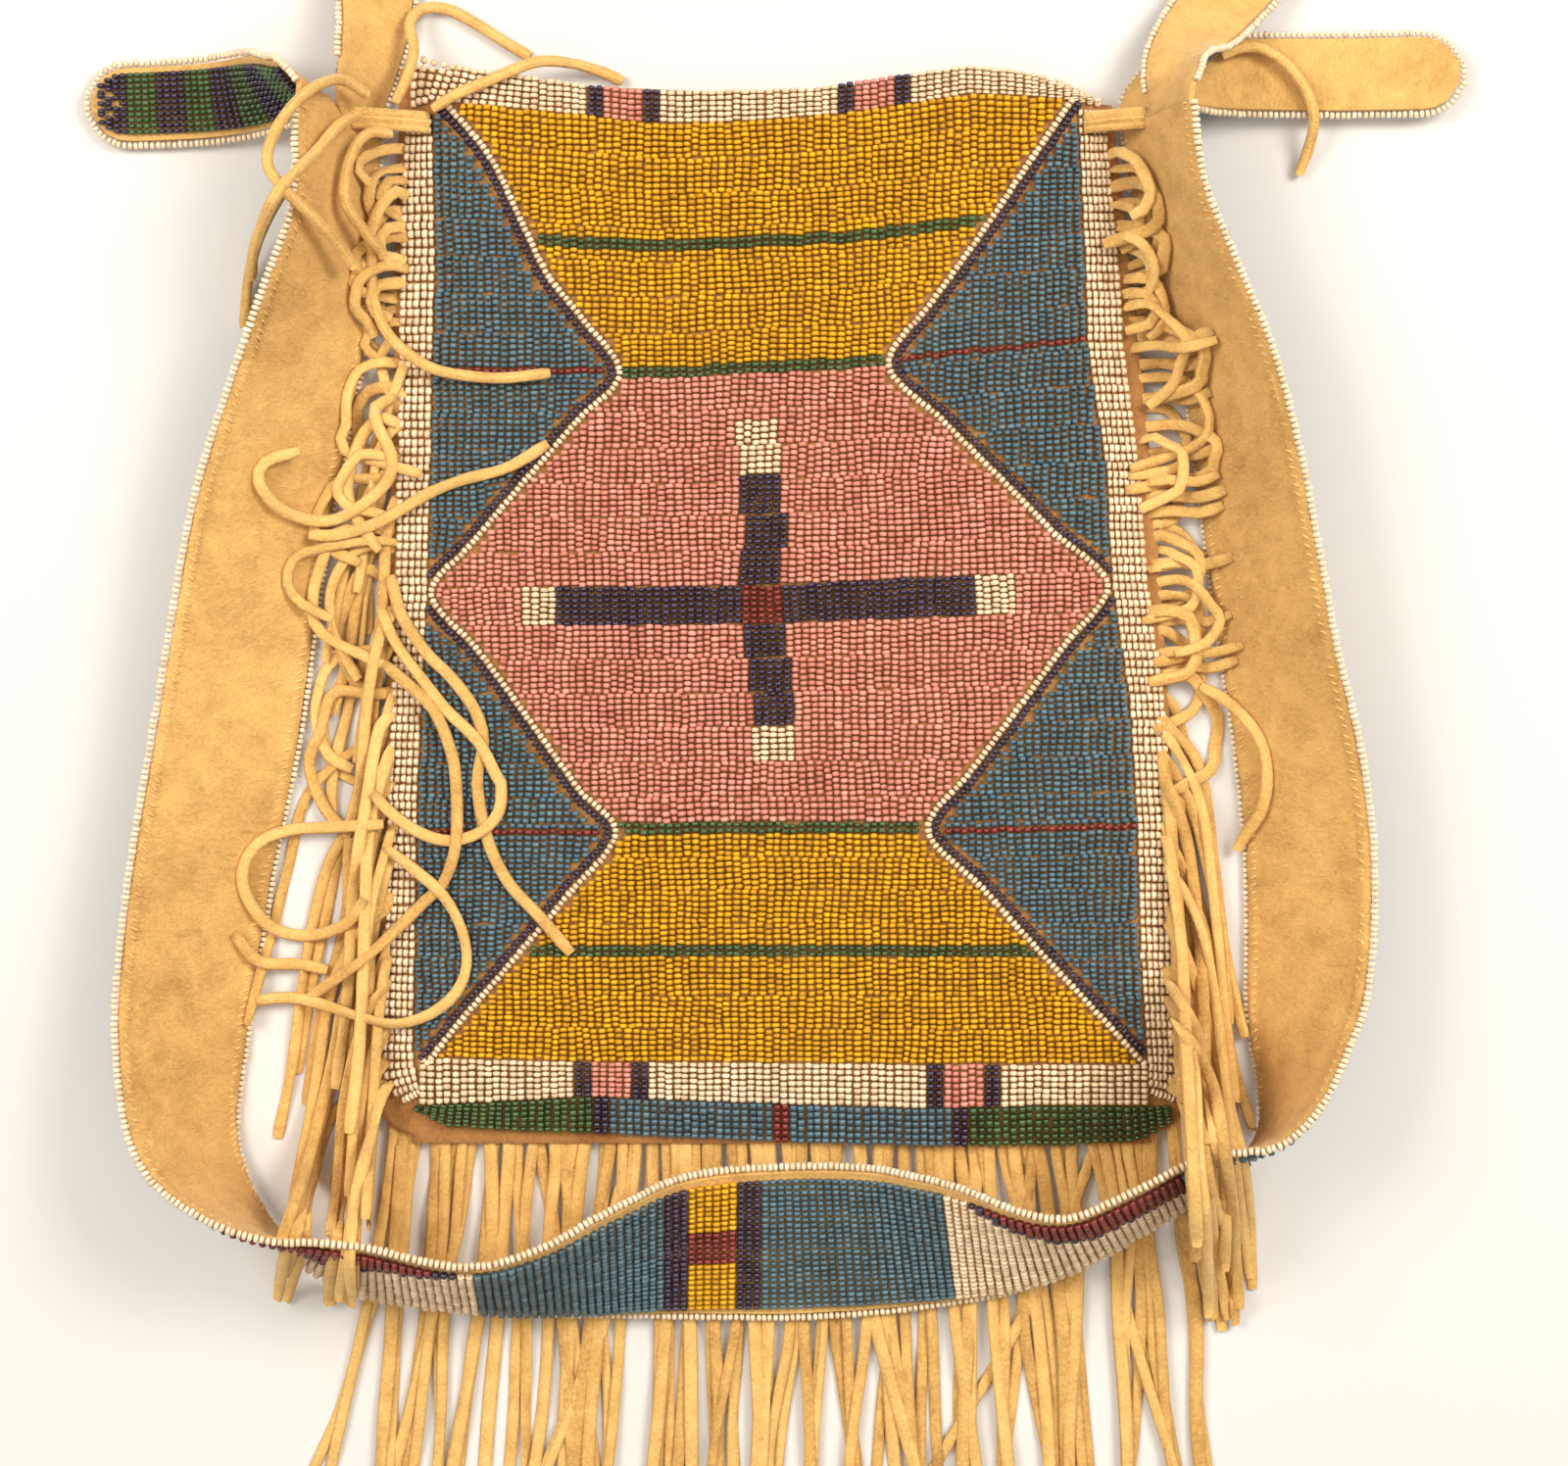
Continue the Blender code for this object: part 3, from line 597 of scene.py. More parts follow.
class BeadMould:
    """One round bead, modelled once: one long along X and one across in radius."""

    def __init__(self, sides: int = 6) -> None:
        """Shapes the bead from a short cylinder whose ends are drawn out to the hole."""
        Bench.clear()
        bpy.ops.mesh.primitive_cylinder_add(
            vertices=sides, radius=1.0, depth=0.52, end_fill_type="TRIFAN", rotation=(0.0, math.pi / 2, 0.0)
        )
        bead = bpy.context.object
        bpy.ops.object.transform_apply(location=True, rotation=True, scale=True)
        bpy.ops.object.mode_set(mode="EDIT")
        bpy.ops.mesh.select_mode(type="VERT")
        bpy.ops.mesh.select_all(action="DESELECT")
        bpy.ops.object.mode_set(mode="OBJECT")
        for vertex in bead.data.vertices:
            vertex.select = math.hypot(vertex.co.y, vertex.co.z) < 0.1
        bpy.ops.object.mode_set(mode="EDIT")
        bpy.ops.transform.resize(value=(1.86, 1.0, 1.0), center_override=(0.0, 0.0, 0.0))
        bpy.ops.object.mode_set(mode="OBJECT")
        mesh = bead.data
        self.points = np.array([vertex.co[:] for vertex in mesh.vertices])
        self.faces = {}
        for polygon in mesh.polygons:
            self.faces.setdefault(len(polygon.vertices), []).append(list(polygon.vertices))
        self.turn = np.arctan2(self.points[:, 2], self.points[:, 1])
        bpy.data.objects.remove(bead, do_unlink=True)
        bpy.data.meshes.remove(mesh)


@dataclass
class Beads:
    """Beads by place, with their direction along the string, upwards, sizes, colours and tones."""

    centre: Array
    along: Array
    up: Array
    width: Array
    length: Array
    colour: Array
    tone: Array

    def flat(self) -> "Beads":
        """The same beads as plain rows, without those whose colour is None."""
        rows = [np.asarray(part).reshape(-1, 3) for part in (self.centre, self.along, self.up)]
        plain = [np.asarray(part).reshape(-1) for part in (self.width, self.length, self.colour, self.tone)]
        kept = np.array([colour is not None for colour in plain[2]], bool)
        return Beads(*(part[kept] for part in rows + plain))


COLOURS = list(Glass)


class BeadBasket:
    """Gathers a region's beads and sews one piece of each colour."""

    def __init__(self, bench: Bench, mould: BeadMould, name: str, rng: np.random.Generator) -> None:
        """Starts an empty basket for one region."""
        self.bench, self.mould, self.name, self.rng = bench, mould, name, rng
        self.held: list[Beads] = []

    def add(self, beads: Beads) -> None:
        """Puts beads in the basket."""
        self.held.append(beads.flat())

    def sew(self, *stands_for: str) -> list[bpy.types.Object]:
        """Makes the pieces; the first one made stands for the region's solids."""
        pieces = []
        columns = zip(*(vars(beads).values() for beads in self.held))
        every = Beads(*(np.concatenate(column) for column in columns))
        for colour in COLOURS:
            chosen = np.array([own is colour for own in every.colour], bool)
            if chosen.any():
                part = Beads(*(column[chosen] for column in vars(every).values()))
                pieces.append(self._cast(part, colour, stands_for if not pieces else ()))
        return pieces

    def _cast(self, beads: Beads, colour: Glass, stands_for: tuple[str, ...]) -> bpy.types.Object:
        """One mesh with a copy of the moulded bead for each bead."""
        mould, count, rng = self.mould, len(beads.centre), self.rng
        along = unit(beads.along + rng.normal(0, 0.05, (count, 3)))
        side = unit(np.cross(beads.up, along))
        up = np.cross(along, side)
        roll = rng.uniform(-0.3, 0.3, count)[:, None]
        side, up = side * np.cos(roll) + up * np.sin(roll), up * np.cos(roll) - side * np.sin(roll)
        shape = mould.points
        radius = beads.width / 2
        points = (
            beads.centre[:, None]
            + along[:, None] * (beads.length[:, None] * shape[:, 0])[..., None]
            + side[:, None] * (radius[:, None] * shape[:, 1])[..., None]
            + up[:, None] * (radius[:, None] * shape[:, 2])[..., None]
        )
        steps = np.arange(count)[:, None, None] * len(shape)
        faces = [(np.array(block)[None] + steps).reshape(-1, corners) for corners, block in mould.faces.items()]
        piece = self.bench.take(f"{self.name}_{colour.name.lower()}_beads", points.reshape(-1, 3), faces)
        order = np.concatenate([block.ravel() for block in faces])
        tone = 0.03 + 0.94 * np.clip(beads.tone, 0, 1)
        u = tone[order // len(shape)] + 0.006 * np.cos(mould.turn)[order % len(shape)]
        # The map's second number runs along each bead; the glass darkens the bead's ends from it as painted shade.
        v = 0.5 + shape[:, 0][order % len(shape)] * 0.98
        self.bench.drop_into(piece, BEAD_MAP, np.stack([u, v], axis=1))
        self.bench.enter(piece, self.bench.glass[colour], colour.slot, *stands_for)
        return piece


@dataclass(frozen=True)
class BeadSizes:
    """Sizes of the seed beads, and how much they differ."""

    width: float = 1.92
    length: float = 1.40
    differ: float = 0.07
    sink: float = 0.12


SEED = BeadSizes()


def sewn_front(plan: Array, colour: Array, width: Array | float, rng: np.random.Generator, arch: float = 0.45, lift: float = 0.0) -> Beads:
    """Beads of one lane sewn on the front.

    Args:
        plan: Plan places of the beads, strings by rows by 2.
        colour: A Glass or None for each.
        width: Bead width in millimetres, for all, each string or each bead.
        rng: Source of the small differences.
        arch: How far the middle of the lane stands up.
        lift: How far the whole lane stands up.

    Returns:
        The beads.
    """
    strings, rows = plan.shape[:2]
    bow = np.sin(math.pi * (np.arange(rows) + 0.5) / rows)[None] * arch
    radius = np.broadcast_to(width, (strings, rows)) / 2
    stand = radius - SEED.sink + bow + lift + rng.normal(0, 0.05, (strings, rows))
    centre = drape(plan, stand)
    along = np.gradient(centre, axis=1) if rows > 1 else np.gradient(centre, axis=0)
    gaps = np.linalg.norm(along, axis=-1)
    up = hide_normals(centre)
    length = gaps * (1.0 + rng.normal(0, 0.03, gaps.shape))
    tone = 0.5 + rng.normal(0, 0.16, (strings, 1)) * 0.6 + rng.normal(0, 0.17, (strings, rows))
    return Beads(centre, along, up, 2 * radius, length, colour, tone)


def uneven_rows(rng: np.random.Generator, strings: int, rows: int, differ: float) -> Array:
    """Shares along each string of its beads' middles, for beads of slightly different lengths."""
    lengths = np.clip(1 + rng.normal(0, differ, (strings, rows)), 0.7, 1.4)
    ends = np.cumsum(lengths, axis=1)
    return (ends - lengths / 2) / ends[:, -1:]


@dataclass
class PanelDesign:
    """The front's lanes and their pattern, by plan places."""

    left_line: tuple = ((447, 100), (465, 117), (500, 160), (528, 217), (558, 279), (594, 325), (632, 381), (588, 430), (530, 497), (480, 556), (440, 606), (488, 664), (540, 735), (590, 805), (628, 851), (578, 915), (520, 984), (470, 1042), (434, 1087))
    right_line: tuple = ((1095, 100), (1050, 166), (1000, 240), (951, 308), (907, 372), (962, 429), (1020, 487), (1075, 543), (1130, 597), (1084, 661), (1038, 724), (990, 788), (947, 847), (1003, 907), (1058, 968), (1114, 1028), (1169, 1087))
    lanes: tuple = ((125, 6), (160.6, 6), (197.9, 6), (232.7, 6), (266.7, 6), (302.4, 6), (339.7, 8), (385, 6), (419.7, 6), (457, 6), (492.7, 6), (526.7, 6), (562.3, 6), (598, 7), (637.4, 6), (672.2, 6), (707, 6), (741.8, 6), (777.5, 6), (813.1, 4), (838.9, 6), (874.9, 6), (908.1, 6), (942.1, 6), (976.1, 7), (1015.9, 6), (1049, 6), (1083, 0))
    guides: tuple = (
        (91, ((415, 48), (440, 60), (500, 70), (600, 85), (673, 91), (750, 90), (830, 88), (933, 72), (991, 65), (1039, 70), (1080, 80), (1119, 99), (1128, 107))),
        (125, ((415, 112), (440, 103), (460, 104), (600, 118), (667, 126), (750, 124), (858, 116), (934, 105), (991, 95), (1077, 99), (1119, 107))),
        (249.5, ((440, 240), (548, 244), (667, 250.5), (858, 242), (993, 225), (1100, 220))),
        (379, ((444, 381), (617, 380), (700, 379), (750, 375), (858, 371), (896, 367), (924, 368), (1108, 348))),
        (598, ((430, 599), (532, 598), (760, 597), (995, 586), (1150, 582))),
        (845, ((442, 847), (628, 847), (750, 845), (970, 846), (1160, 841))),
        (971, ((537, 971), (1063, 971))),
        (1083, ((430, 1078), (608, 1083), (750, 1083), (944, 1085), (1170, 1085))),
        (1124, ((430, 1128), (608, 1118), (657, 1121), (944, 1131), (1078, 1127), (1191, 1128))),
    )
    left_inner: tuple = ((90, 436), (120, 440), (263, 444.5), (359, 441.5), (600, 436.5), (800, 426.5), (1080, 421.5), (1100, 424))
    right_inner: tuple = ((90, 1102), (136, 1101), (263, 1107), (359, 1110), (482, 1129), (597, 1134.5), (712, 1152), (842, 1160), (970, 1163), (1082, 1170), (1110, 1171))
    column: float = 8.33
    string_pitch: float = 6.0
    cross_middle: float = 781.0
    lean_per_pixel: float = 0.046

    def __post_init__(self) -> None:
        """Smooths the outlines."""
        self.left = smooth_line(self.left_line, 4.0)
        self.right = smooth_line(self.right_line, 4.0)

    def v_at(self, u: Array, s: Array) -> Array:
        """Plan height of a row number s, measured at u = 700, over at u."""
        keys = np.array([guide[0] for guide in self.guides], float)
        heights = np.stack([table(guide[1], u) - table(guide[1], 700.0) for guide in self.guides])
        at = np.clip(np.searchsorted(keys, s) - 1, 0, len(keys) - 2)
        share = np.clip((s - keys[at]) / (keys[at + 1] - keys[at]), 0, 1)
        low = np.take_along_axis(heights, at[None], axis=0)[0]
        high = np.take_along_axis(heights, at[None] + 1, axis=0)[0]
        return s + mix(low, high, share)

    def across(self, line: Array, v: Array) -> Array:
        """Where an outline is at plan height v."""
        return np.interp(v, line[:, 1], line[:, 0])

    def gap_to(self, line: Array, plan: Array) -> Array:
        """How far plan places are from an outline."""
        flat = plan.reshape(-1, 2)
        nearest = np.full(len(flat), 1e9)
        for point in line:
            nearest = np.minimum(nearest, ((flat - point) ** 2).sum(1))
        return np.sqrt(nearest).reshape(plan.shape[:-1])


class FrontBeadwork:
    """The lanes of beads on the front."""

    def __init__(self, bench: Bench, mould: BeadMould) -> None:
        """Sets out the design."""
        self.bench, self.mould, self.design = bench, mould, PanelDesign()

    def basket(self, name: str, seed: int) -> BeadBasket:
        """A basket for one region."""
        return BeadBasket(self.bench, self.mould, name, np.random.default_rng(seed))

    def build(self) -> list[bpy.types.Object]:
        """Sews all the lanes of the front."""
        return self.field() + self.bands() + self.base_lane() + self.borders()

    # The field and its outlines
    def field(self) -> list[bpy.types.Object]:
        """The horizontal lanes inside the borders."""
        basket, d = self.basket("field", 11), self.design
        for number, ((top, rows), (bottom, _)) in enumerate(zip(d.lanes, d.lanes[1:])):
            basket.add(self._field_lane(basket.rng, number + 1, float(top), float(bottom), rows))
        for line, side in ((d.left, -1), (d.right, 1)):
            for beads in self._outline(basket.rng, line, side):
                basket.add(beads)
        return basket.sew("beadwork_field")

    def _field_lane(self, rng: np.random.Generator, lane: int, top: float, bottom: float, rows: int) -> Beads:
        """One lane of upright strings."""
        d = self.design
        middle = d.v_at(np.array([500.0, 1050.0]), np.full(2, (top + bottom) / 2))
        left = float(table(d.left_inner, middle[0])) + 0.6
        right = float(table(d.right_inner, middle[1])) - 0.6
        count = round((right - left) / d.column)
        widths = np.clip(1 + rng.normal(0, 0.055, count), 0.85, 1.16)
        ends = np.cumsum(widths)
        home = left + (ends - widths / 2) / ends[-1] * (right - left)
        share = uneven_rows(rng, count, rows, 0.085)
        slack = rng.normal(0, 0.7, (count, 2))
        s = mix(top + slack[:, :1], bottom + slack[:, 1:], share)
        lean = (wander(rng, count, 9.0, 1.7) + rng.normal(0, 0.45, count))[:, None] * (share - 0.5)
        sway = wander(rng, count, 5.0, 0.5)[:, None] * np.sin(math.pi * share)
        u = home[:, None] + lean + sway + rng.normal(0, 0.22, (count, rows))
        v = d.v_at(u, s)
        plan = np.stack([u, v], axis=-1)
        colour = self._field_colours(lane, rows, plan, home)
        pitch = (right - left) / count / 4.17
        width = pitch * 0.955 * widths[:, None] * np.clip(1 + rng.normal(0, 0.05, (count, rows)), 0.86, 1.14)
        return sewn_front(plan, colour, width, rng)

    def _field_colours(self, lane: int, rows: int, plan: Array, home: Array) -> Array:
        """The pattern's colour for each bead of a lane."""
        d = self.design
        colour = np.full(plan.shape[:2], Glass.BLUE, dtype=object)
        left, right = d.across(d.left, plan[..., 1]), d.across(d.right, plan[..., 1])
        inside = (plan[..., 0] > left) & (plan[..., 0] < right)
        for row in range(rows):
            inner, outer = self._row_colours(lane, row)
            colour[:, row] = np.where(inside[:, row], inner, outer)
        self._cross(lane, rows, colour, home, inside)
        near_left, near_right = d.gap_to(d.left, plan), d.gap_to(d.right, plan)
        outside_left, outside_right = plan[..., 0] < left, plan[..., 0] > right
        covered = (near_left < np.where(outside_left, 14.8, 6.2)) | (near_right < np.where(outside_right, 14.8, 6.2))
        colour[covered] = None
        return colour

    @staticmethod
    def _row_colours(lane: int, row: int) -> tuple[Glass, Glass]:
        """A row's colour inside the figures and outside them."""
        outer = Glass.RED if (lane, row) in ((7, 6), (21, 1)) else Glass.BLUE
        if 8 <= lane <= 20:
            return Glass.PINK, outer
        green = {4: (2, 3), 7: (6, 7), 21: (0, 1), 24: (4, 5)}
        return (Glass.GREEN if row in green.get(lane, ()) else Glass.YELLOW), outer

    def _cross(self, lane: int, rows: int, colour: Array, home: Array, inside: Array) -> None:
        """Works the cross of navy arms, ivory tips and a red middle into a lane."""
        d = self.design
        if 10 <= lane <= 18:
            middle = 774.5 + (lane - 10) * 1.63
            arm = np.argsort(np.abs(home - middle))[:5]
            tip = lane in (10, 18) or (lane == 19)
            for row in range(rows):
                paint = Glass.IVORY if tip else Glass.NAVY
                if lane == 10 and row == rows - 1:
                    paint = Glass.NAVY
                colour[arm, row] = paint
        if lane == 9:
            arm = np.argsort(np.abs(home - 774.0))[:5]
            colour[arm, rows - 4:] = Glass.IVORY
        if lane == 14:
            spans = ((532, 570, Glass.IVORY), (570, 761, Glass.NAVY), (761, 802, Glass.RED), (802, 995, Glass.NAVY), (995, 1035, Glass.IVORY))
            for start, end, paint in spans:
                chosen = (home > start) & (home < end)
                colour[chosen] = paint

    def _outline(self, rng: np.random.Generator, line: Array, side: int) -> list[Beads]:
        """The white string along an outline and the navy string outside it."""
        d, found = self.design, []
        heading = unit(np.gradient(line, axis=0))
        outwards = np.stack([-heading[:, 1], heading[:, 0]], axis=1) * -side
        outwards *= np.where((outwards[:, :1] * side) < 0, -1, 1)
        for paint, offset, width, lift in ((Glass.IVORY, 0.0, 1.78, 0.22), (Glass.NAVY, 7.9, 1.95, 0.14)):
            shifted = line + outwards * offset
            inside = (shifted[:, 0] > table(d.left_inner, shifted[:, 1]) - 1) & (shifted[:, 0] < table(d.right_inner, shifted[:, 1]) + 1)
            runs = np.split(np.arange(len(line)), np.flatnonzero(~inside))
            for run in runs:
                run = run[inside[run]]
                if len(run) < 4:
                    continue
                places = evenly(shifted[run], 5.9)
                places = places + rng.normal(0, 0.25, places.shape)
                plan = places[:, None]
                beads = sewn_front(plan, np.full(plan.shape[:2], paint, dtype=object), width * (1 + rng.normal(0, 0.05, (len(places), 1))), rng, 0.0, lift)
                found.append(beads)
        return found

    # Lanes set out by rungs: each row is the start and the end of a string
    def _rung_lane(self, rng: np.random.Generator, rungs: tuple, pitch: float, rows: int | None, differ: float = 0.05) -> tuple[Array, Array]:
        """Bead places of a lane whose strings follow rungs.

        Args:
            rng: Source of the small differences.
            rungs: Rows of start x, start y, end x and end y in plan places.
            pitch: Distance between strings at their middles.
            rows: Beads on a string, or None to fill it at the bead's own length.
            differ: How much the beads' lengths differ.

        Returns:
            The plan places, strings by rows by 2, and the widths in millimetres.
        """
        keys = np.asarray(rungs, float)
        middles = (keys[:, :2] + keys[:, 2:]) / 2
        along = lengths_along(middles)
        count = max(2, round(along[-1] / pitch))
        wanted = (np.arange(count) + 0.5) * along[-1] / count
        strings = np.stack([np.interp(wanted, along, column) for column in keys.T], axis=1)
        start, end = strings[:, None, :2], strings[:, None, 2:]
        if rows is None:
            rows = max(2, round(float(np.median(np.linalg.norm(end - start, axis=-1))) / 5.85))
        share = uneven_rows(rng, count, rows, differ)[..., None]
        plan = mix(start, end, share)
        plan = plan + rng.normal(0, 0.3, (count, 1, 2)) + rng.normal(0, 0.2, plan.shape)
        width = np.full((count, 1), along[-1] / count / 4.17 * 0.93) * np.clip(1 + rng.normal(0, 0.05, (count, rows)), 0.88, 1.12)
        return plan, width

    def _guide_rungs(self, upper: int, lower: int, edges: Array, fan: tuple = ()) -> tuple:
        """Upright rungs between two of the design's guides."""
        d, rungs = self.design, []
        for u in edges:
            shift = float(table(fan, u)) if fan else 0.0
            top = float(table(d.guides[upper][1], u + shift)) + 1.0
            rungs.append((u + shift, top, u, float(table(d.guides[lower][1], u))))
        return tuple(rungs)

    def bands(self) -> list[bpy.types.Object]:
        """The ivory lanes along the mouth and the bottom, with their bars."""
        pieces = []
        fan = ((415, -3), (440, 16), (470, 10), (520, 4), (560, 0), (1060, 0), (1125, 0))
        edges = np.array([418, 426, 440, 460, 480, 500, 520, 560, 600, 650, 700, 760, 830, 860, 900, 940, 990, 1040, 1080, 1105, 1124], float)
        plans = (
            ("top_band", 0, 1, edges, fan, 6, (636.5, 894.5), 21),
            ("bottom_band", 7, 8, np.linspace(427, 1172, 24), (), 7, (621.0, 981.5), 22),
        )
        for name, upper, lower, edges, fan, rows, bars, seed in plans:
            basket = self.basket(name, seed)
            rungs = self._guide_rungs(upper, lower, edges, fan)
            plan, width = self._rung_lane(basket.rng, rungs, self.design.column, rows)
            colour = np.full(plan.shape[:2], Glass.IVORY, dtype=object)
            middle = plan[:, :, 0].mean(axis=1)
            for bar in bars:
                chosen = np.sort(np.argsort(np.abs(middle - bar))[:9])
                for place, string in enumerate(chosen):
                    colour[string] = Glass.PINK if 2 <= place <= 6 else Glass.NAVY
            basket.add(sewn_front(plan, colour, width, basket.rng, 0.35))
            pieces += basket.sew("beadwork_" + name)
        return pieces

    def base_lane(self) -> list[bpy.types.Object]:
        """The lane that rolls under the bottom edge."""
        basket = self.basket("base_lane", 23)
        foot = ((425, 1130), (432, 1136), (439, 1142), (455, 1149), (480, 1151), (519, 1154), (614, 1157), (791, 1166), (970, 1170), (1078, 1169), (1140, 1167), (1166, 1164), (1184, 1154), (1197, 1142))
        head = self.design.guides[8][1]
        rungs = []
        for u in (425, 440, 460, 490, 530, 600, 680, 791, 900, 970, 1078, 1120, 1150, 1170, 1193):
            spread = (u - 805) / 390
            lower = u + 5 * spread**5
            rungs.append((u, float(table(head, u)) + 0.5, lower, float(table(foot, lower))))
        plan, width = self._rung_lane(basket.rng, tuple(rungs), 8.3, 6)
        colour = np.full(plan.shape[:2], Glass.GREEN, dtype=object)
        middle = plan[:, 0, 0]
        for start, end, paint in ((607, 624, Glass.NAVY), (624, 785, Glass.BLUE), (785, 803, Glass.RED), (803, 974, Glass.BLUE), (974, 993, Glass.NAVY)):
            colour[(middle >= start) & (middle < end)] = paint
        basket.add(sewn_front(plan, colour, width, basket.rng, 0.25))
        return basket.sew("beadwork_base_lane")

    def borders(self) -> list[bpy.types.Object]:
        """The ivory lanes along the sides, with strings across them."""
        left = ((415, 120, 441, 120), (409, 200, 443, 198), (409, 263, 444.5, 262), (407, 359, 441.5, 359), (405, 500, 439, 500), (404, 600, 436.5, 600), (396, 800, 426.5, 800), (391, 1060, 421.5, 1062), (389.5, 1084, 422, 1084), (392, 1100, 425, 1094), (400, 1115, 427, 1106), (416, 1127, 430, 1117))
        right = ((1100, 110, 1127, 112), (1101, 136, 1129, 136), (1107, 263, 1141, 263), (1110, 359, 1147, 359), (1129, 482, 1163, 482), (1134.5, 597, 1171, 597), (1152, 712, 1188, 712), (1160, 842, 1198, 842), (1163, 970, 1200, 970), (1170, 1075, 1202, 1075), (1172, 1100, 1201, 1104), (1174, 1116, 1197, 1126))
        pieces = []
        for name, rungs, seed in (("left_border", left, 24), ("right_border", right, 25)):
            basket = self.basket(name, seed)
            plan, width = self._rung_lane(basket.rng, rungs, 8.8, None)
            colour = np.full(plan.shape[:2], Glass.IVORY, dtype=object)
            basket.add(sewn_front(plan, colour, width, basket.rng, 0.3))
            pieces += basket.sew("beadwork_" + name)
        return pieces


# Hide
class HideSheet:
    """A sheet of hide laid out as a grid of places."""

    def __init__(self, bench: Bench) -> None:
        """Starts with no places."""
        self.bench = bench
        self.points: list[Array] = []
        self.faces: list[Array] = []
        self.lay: list[Array] = []
        self.count = 0

    def grid(self, places: Array, lay: Array, first: Array | None = None, turned: bool = False) -> Array:
        """Adds a grid of faces.

        Args:
            places: Millimetres, rows by columns by 3.
            lay: Metres along and across the hide, rows by columns by 2.
            first: Vertex numbers that the first row shares, or None.
            turned: Whether the faces look the other way.

        Returns:
            Vertex numbers, rows by columns.
        """
        rows, columns = places.shape[:2]
        skip = 0 if first is None else 1
        fresh = places[skip:].reshape(-1, 3)
        numbers = self.count + np.arange(len(fresh)).reshape(rows - skip, columns)
        if first is not None:
            numbers = np.vstack([np.asarray(first)[None], numbers])
        self.points.append(fresh)
        self.lay.append(lay[skip:].reshape(-1, 2))
        self.count += len(fresh)
        quads = np.stack([numbers[:-1, :-1], numbers[1:, :-1], numbers[1:, 1:], numbers[:-1, 1:]], axis=-1).reshape(-1, 4)
        self.faces.append(quads[:, ::-1] if turned else quads)
        return numbers

    def make(self, name: str, thickness: float, offset: float) -> bpy.types.Object:
        """The sheet with its thickness and its soft edge."""
        piece = self.bench.take(name, np.vstack(self.points), self.faces)
        corners = np.concatenate([block.ravel() for block in self.faces])
        self.bench.drop_into(piece, "HideLay", np.vstack(self.lay)[corners])
        solid = piece.modifiers.new("thickness", "SOLIDIFY")
        solid.thickness, solid.offset = thickness * MM, offset
        solid.use_even_offset = True
        edge = piece.modifiers.new("soft edge", "BEVEL")
        edge.width, edge.segments, edge.limit_method, edge.angle_limit = 0.4 * MM, 2, "ANGLE", math.radians(60)
        self.bench.apply(piece)
        piece.data.polygons.foreach_set("use_smooth", np.ones(len(piece.data.polygons), bool))
        return piece


class BodyHide:
    """The front and back hides of the pocket."""

    def __init__(self, bench: Bench) -> None:
        """Keeps the bench."""
        self.bench = bench

    def _outline_grid(self, columns: int, rows: int, past: float) -> tuple[Array, Array]:
        """Places over the body's outline, closer together near its edges."""
        across = (1 - np.cos(np.linspace(0, math.pi, columns))) / 2
        foot, head = BODY.foot - past, BODY.height / 2
        y = mix(foot, head, (1 - np.cos(np.linspace(0, math.pi, rows))) / 2)[:, None]
        left, right = BODY.side(-1, y) - past, BODY.side(1, y) + past
        x = mix(left, right, across[None])
        return x, np.broadcast_to(y, x.shape)

    def front(self) -> bpy.types.Object:
        """The hide that carries the beads."""
        x, y = self._outline_grid(61, 73, 2.6)
        y = y + BODY.mouth_wave(x, y)
        z = BODY.hide_height(x, y)
        sheet = HideSheet(self.bench)
        sheet.grid(np.stack([x, y, z], axis=-1), np.stack([x, y], axis=-1) * MM, turned=True)
        piece = sheet.make("front_hide", 1.4, -1)
        # The front hide's colours are darker than the back's: the hide's own colour, with painted shade from the beads
        # that lie on it.
        self.bench.enter(piece, HideFinish("front hide", (120, 78, 40), (170, 120, 68), (205, 155, 92)).make("HideLay"), "buckskin", "front_panel")
        return piece

    def back(self) -> bpy.types.Object:
        """The plain back."""
        rng = np.random.default_rng(41)
        x, y = self._outline_grid(41, 51, 0.4)
        y = y + BODY.mouth_wave(x, y) * 0.85
        ripple = 0.25 * np.sin(x / 17 + np.cos(y / 29)) + 0.2 * np.sin(y / 23 + x / 41)
        z = 1.35 + np.clip(ripple, -0.3, 0.3) + rng.normal(0, 0.02, x.shape)
        sheet = HideSheet(self.bench)
        sheet.grid(np.stack([x, y, z], axis=-1), np.stack([x, y], axis=-1) * MM, turned=True)
        piece = sheet.make("back_hide", 1.3, -1)
        self.bench.enter(piece, HideFinish("back hide").make("HideLay"), "buckskin", "back_panel")
        return piece


# Strap and tails
@dataclass
class Ribbon:
    """A strip of hide by sections: middle, direction across, half width and beaded face."""

    centre: Array
    width: Array
    half: Array
    face: Array

    def at(self, across: Array | float, lift: Array | float = 0.0) -> Array:
        """Points across each section, from -1 at the low edge to 1 at the high one."""
        across = np.asarray(across, float)
        if across.ndim == 1:
            return self.centre[:, None] + self.width[:, None] * (self.half[:, None] * across[None])[..., None] + self.face[:, None] * np.asarray(lift)[..., None]
        return self.centre + self.width * (self.half * across)[:, None] + self.face * lift

    def beyond(self, sign: int, distance: float, lift: float = 0.0) -> Array:
        """Points past the low (-1) or high (1) edge."""
        return self.centre + self.width * (sign * (self.half + distance))[:, None] + self.face * lift

    def resampled(self, pitch: float) -> "Ribbon":
        """The same strip with sections one pitch apart along its middle."""
        stacked = np.hstack([self.centre, self.width, self.half[:, None], self.face])
        rows = evenly(stacked, pitch)
        return Ribbon(rows[:, :3], unit(rows[:, 3:6]), rows[:, 6], unit(rows[:, 7:10]))


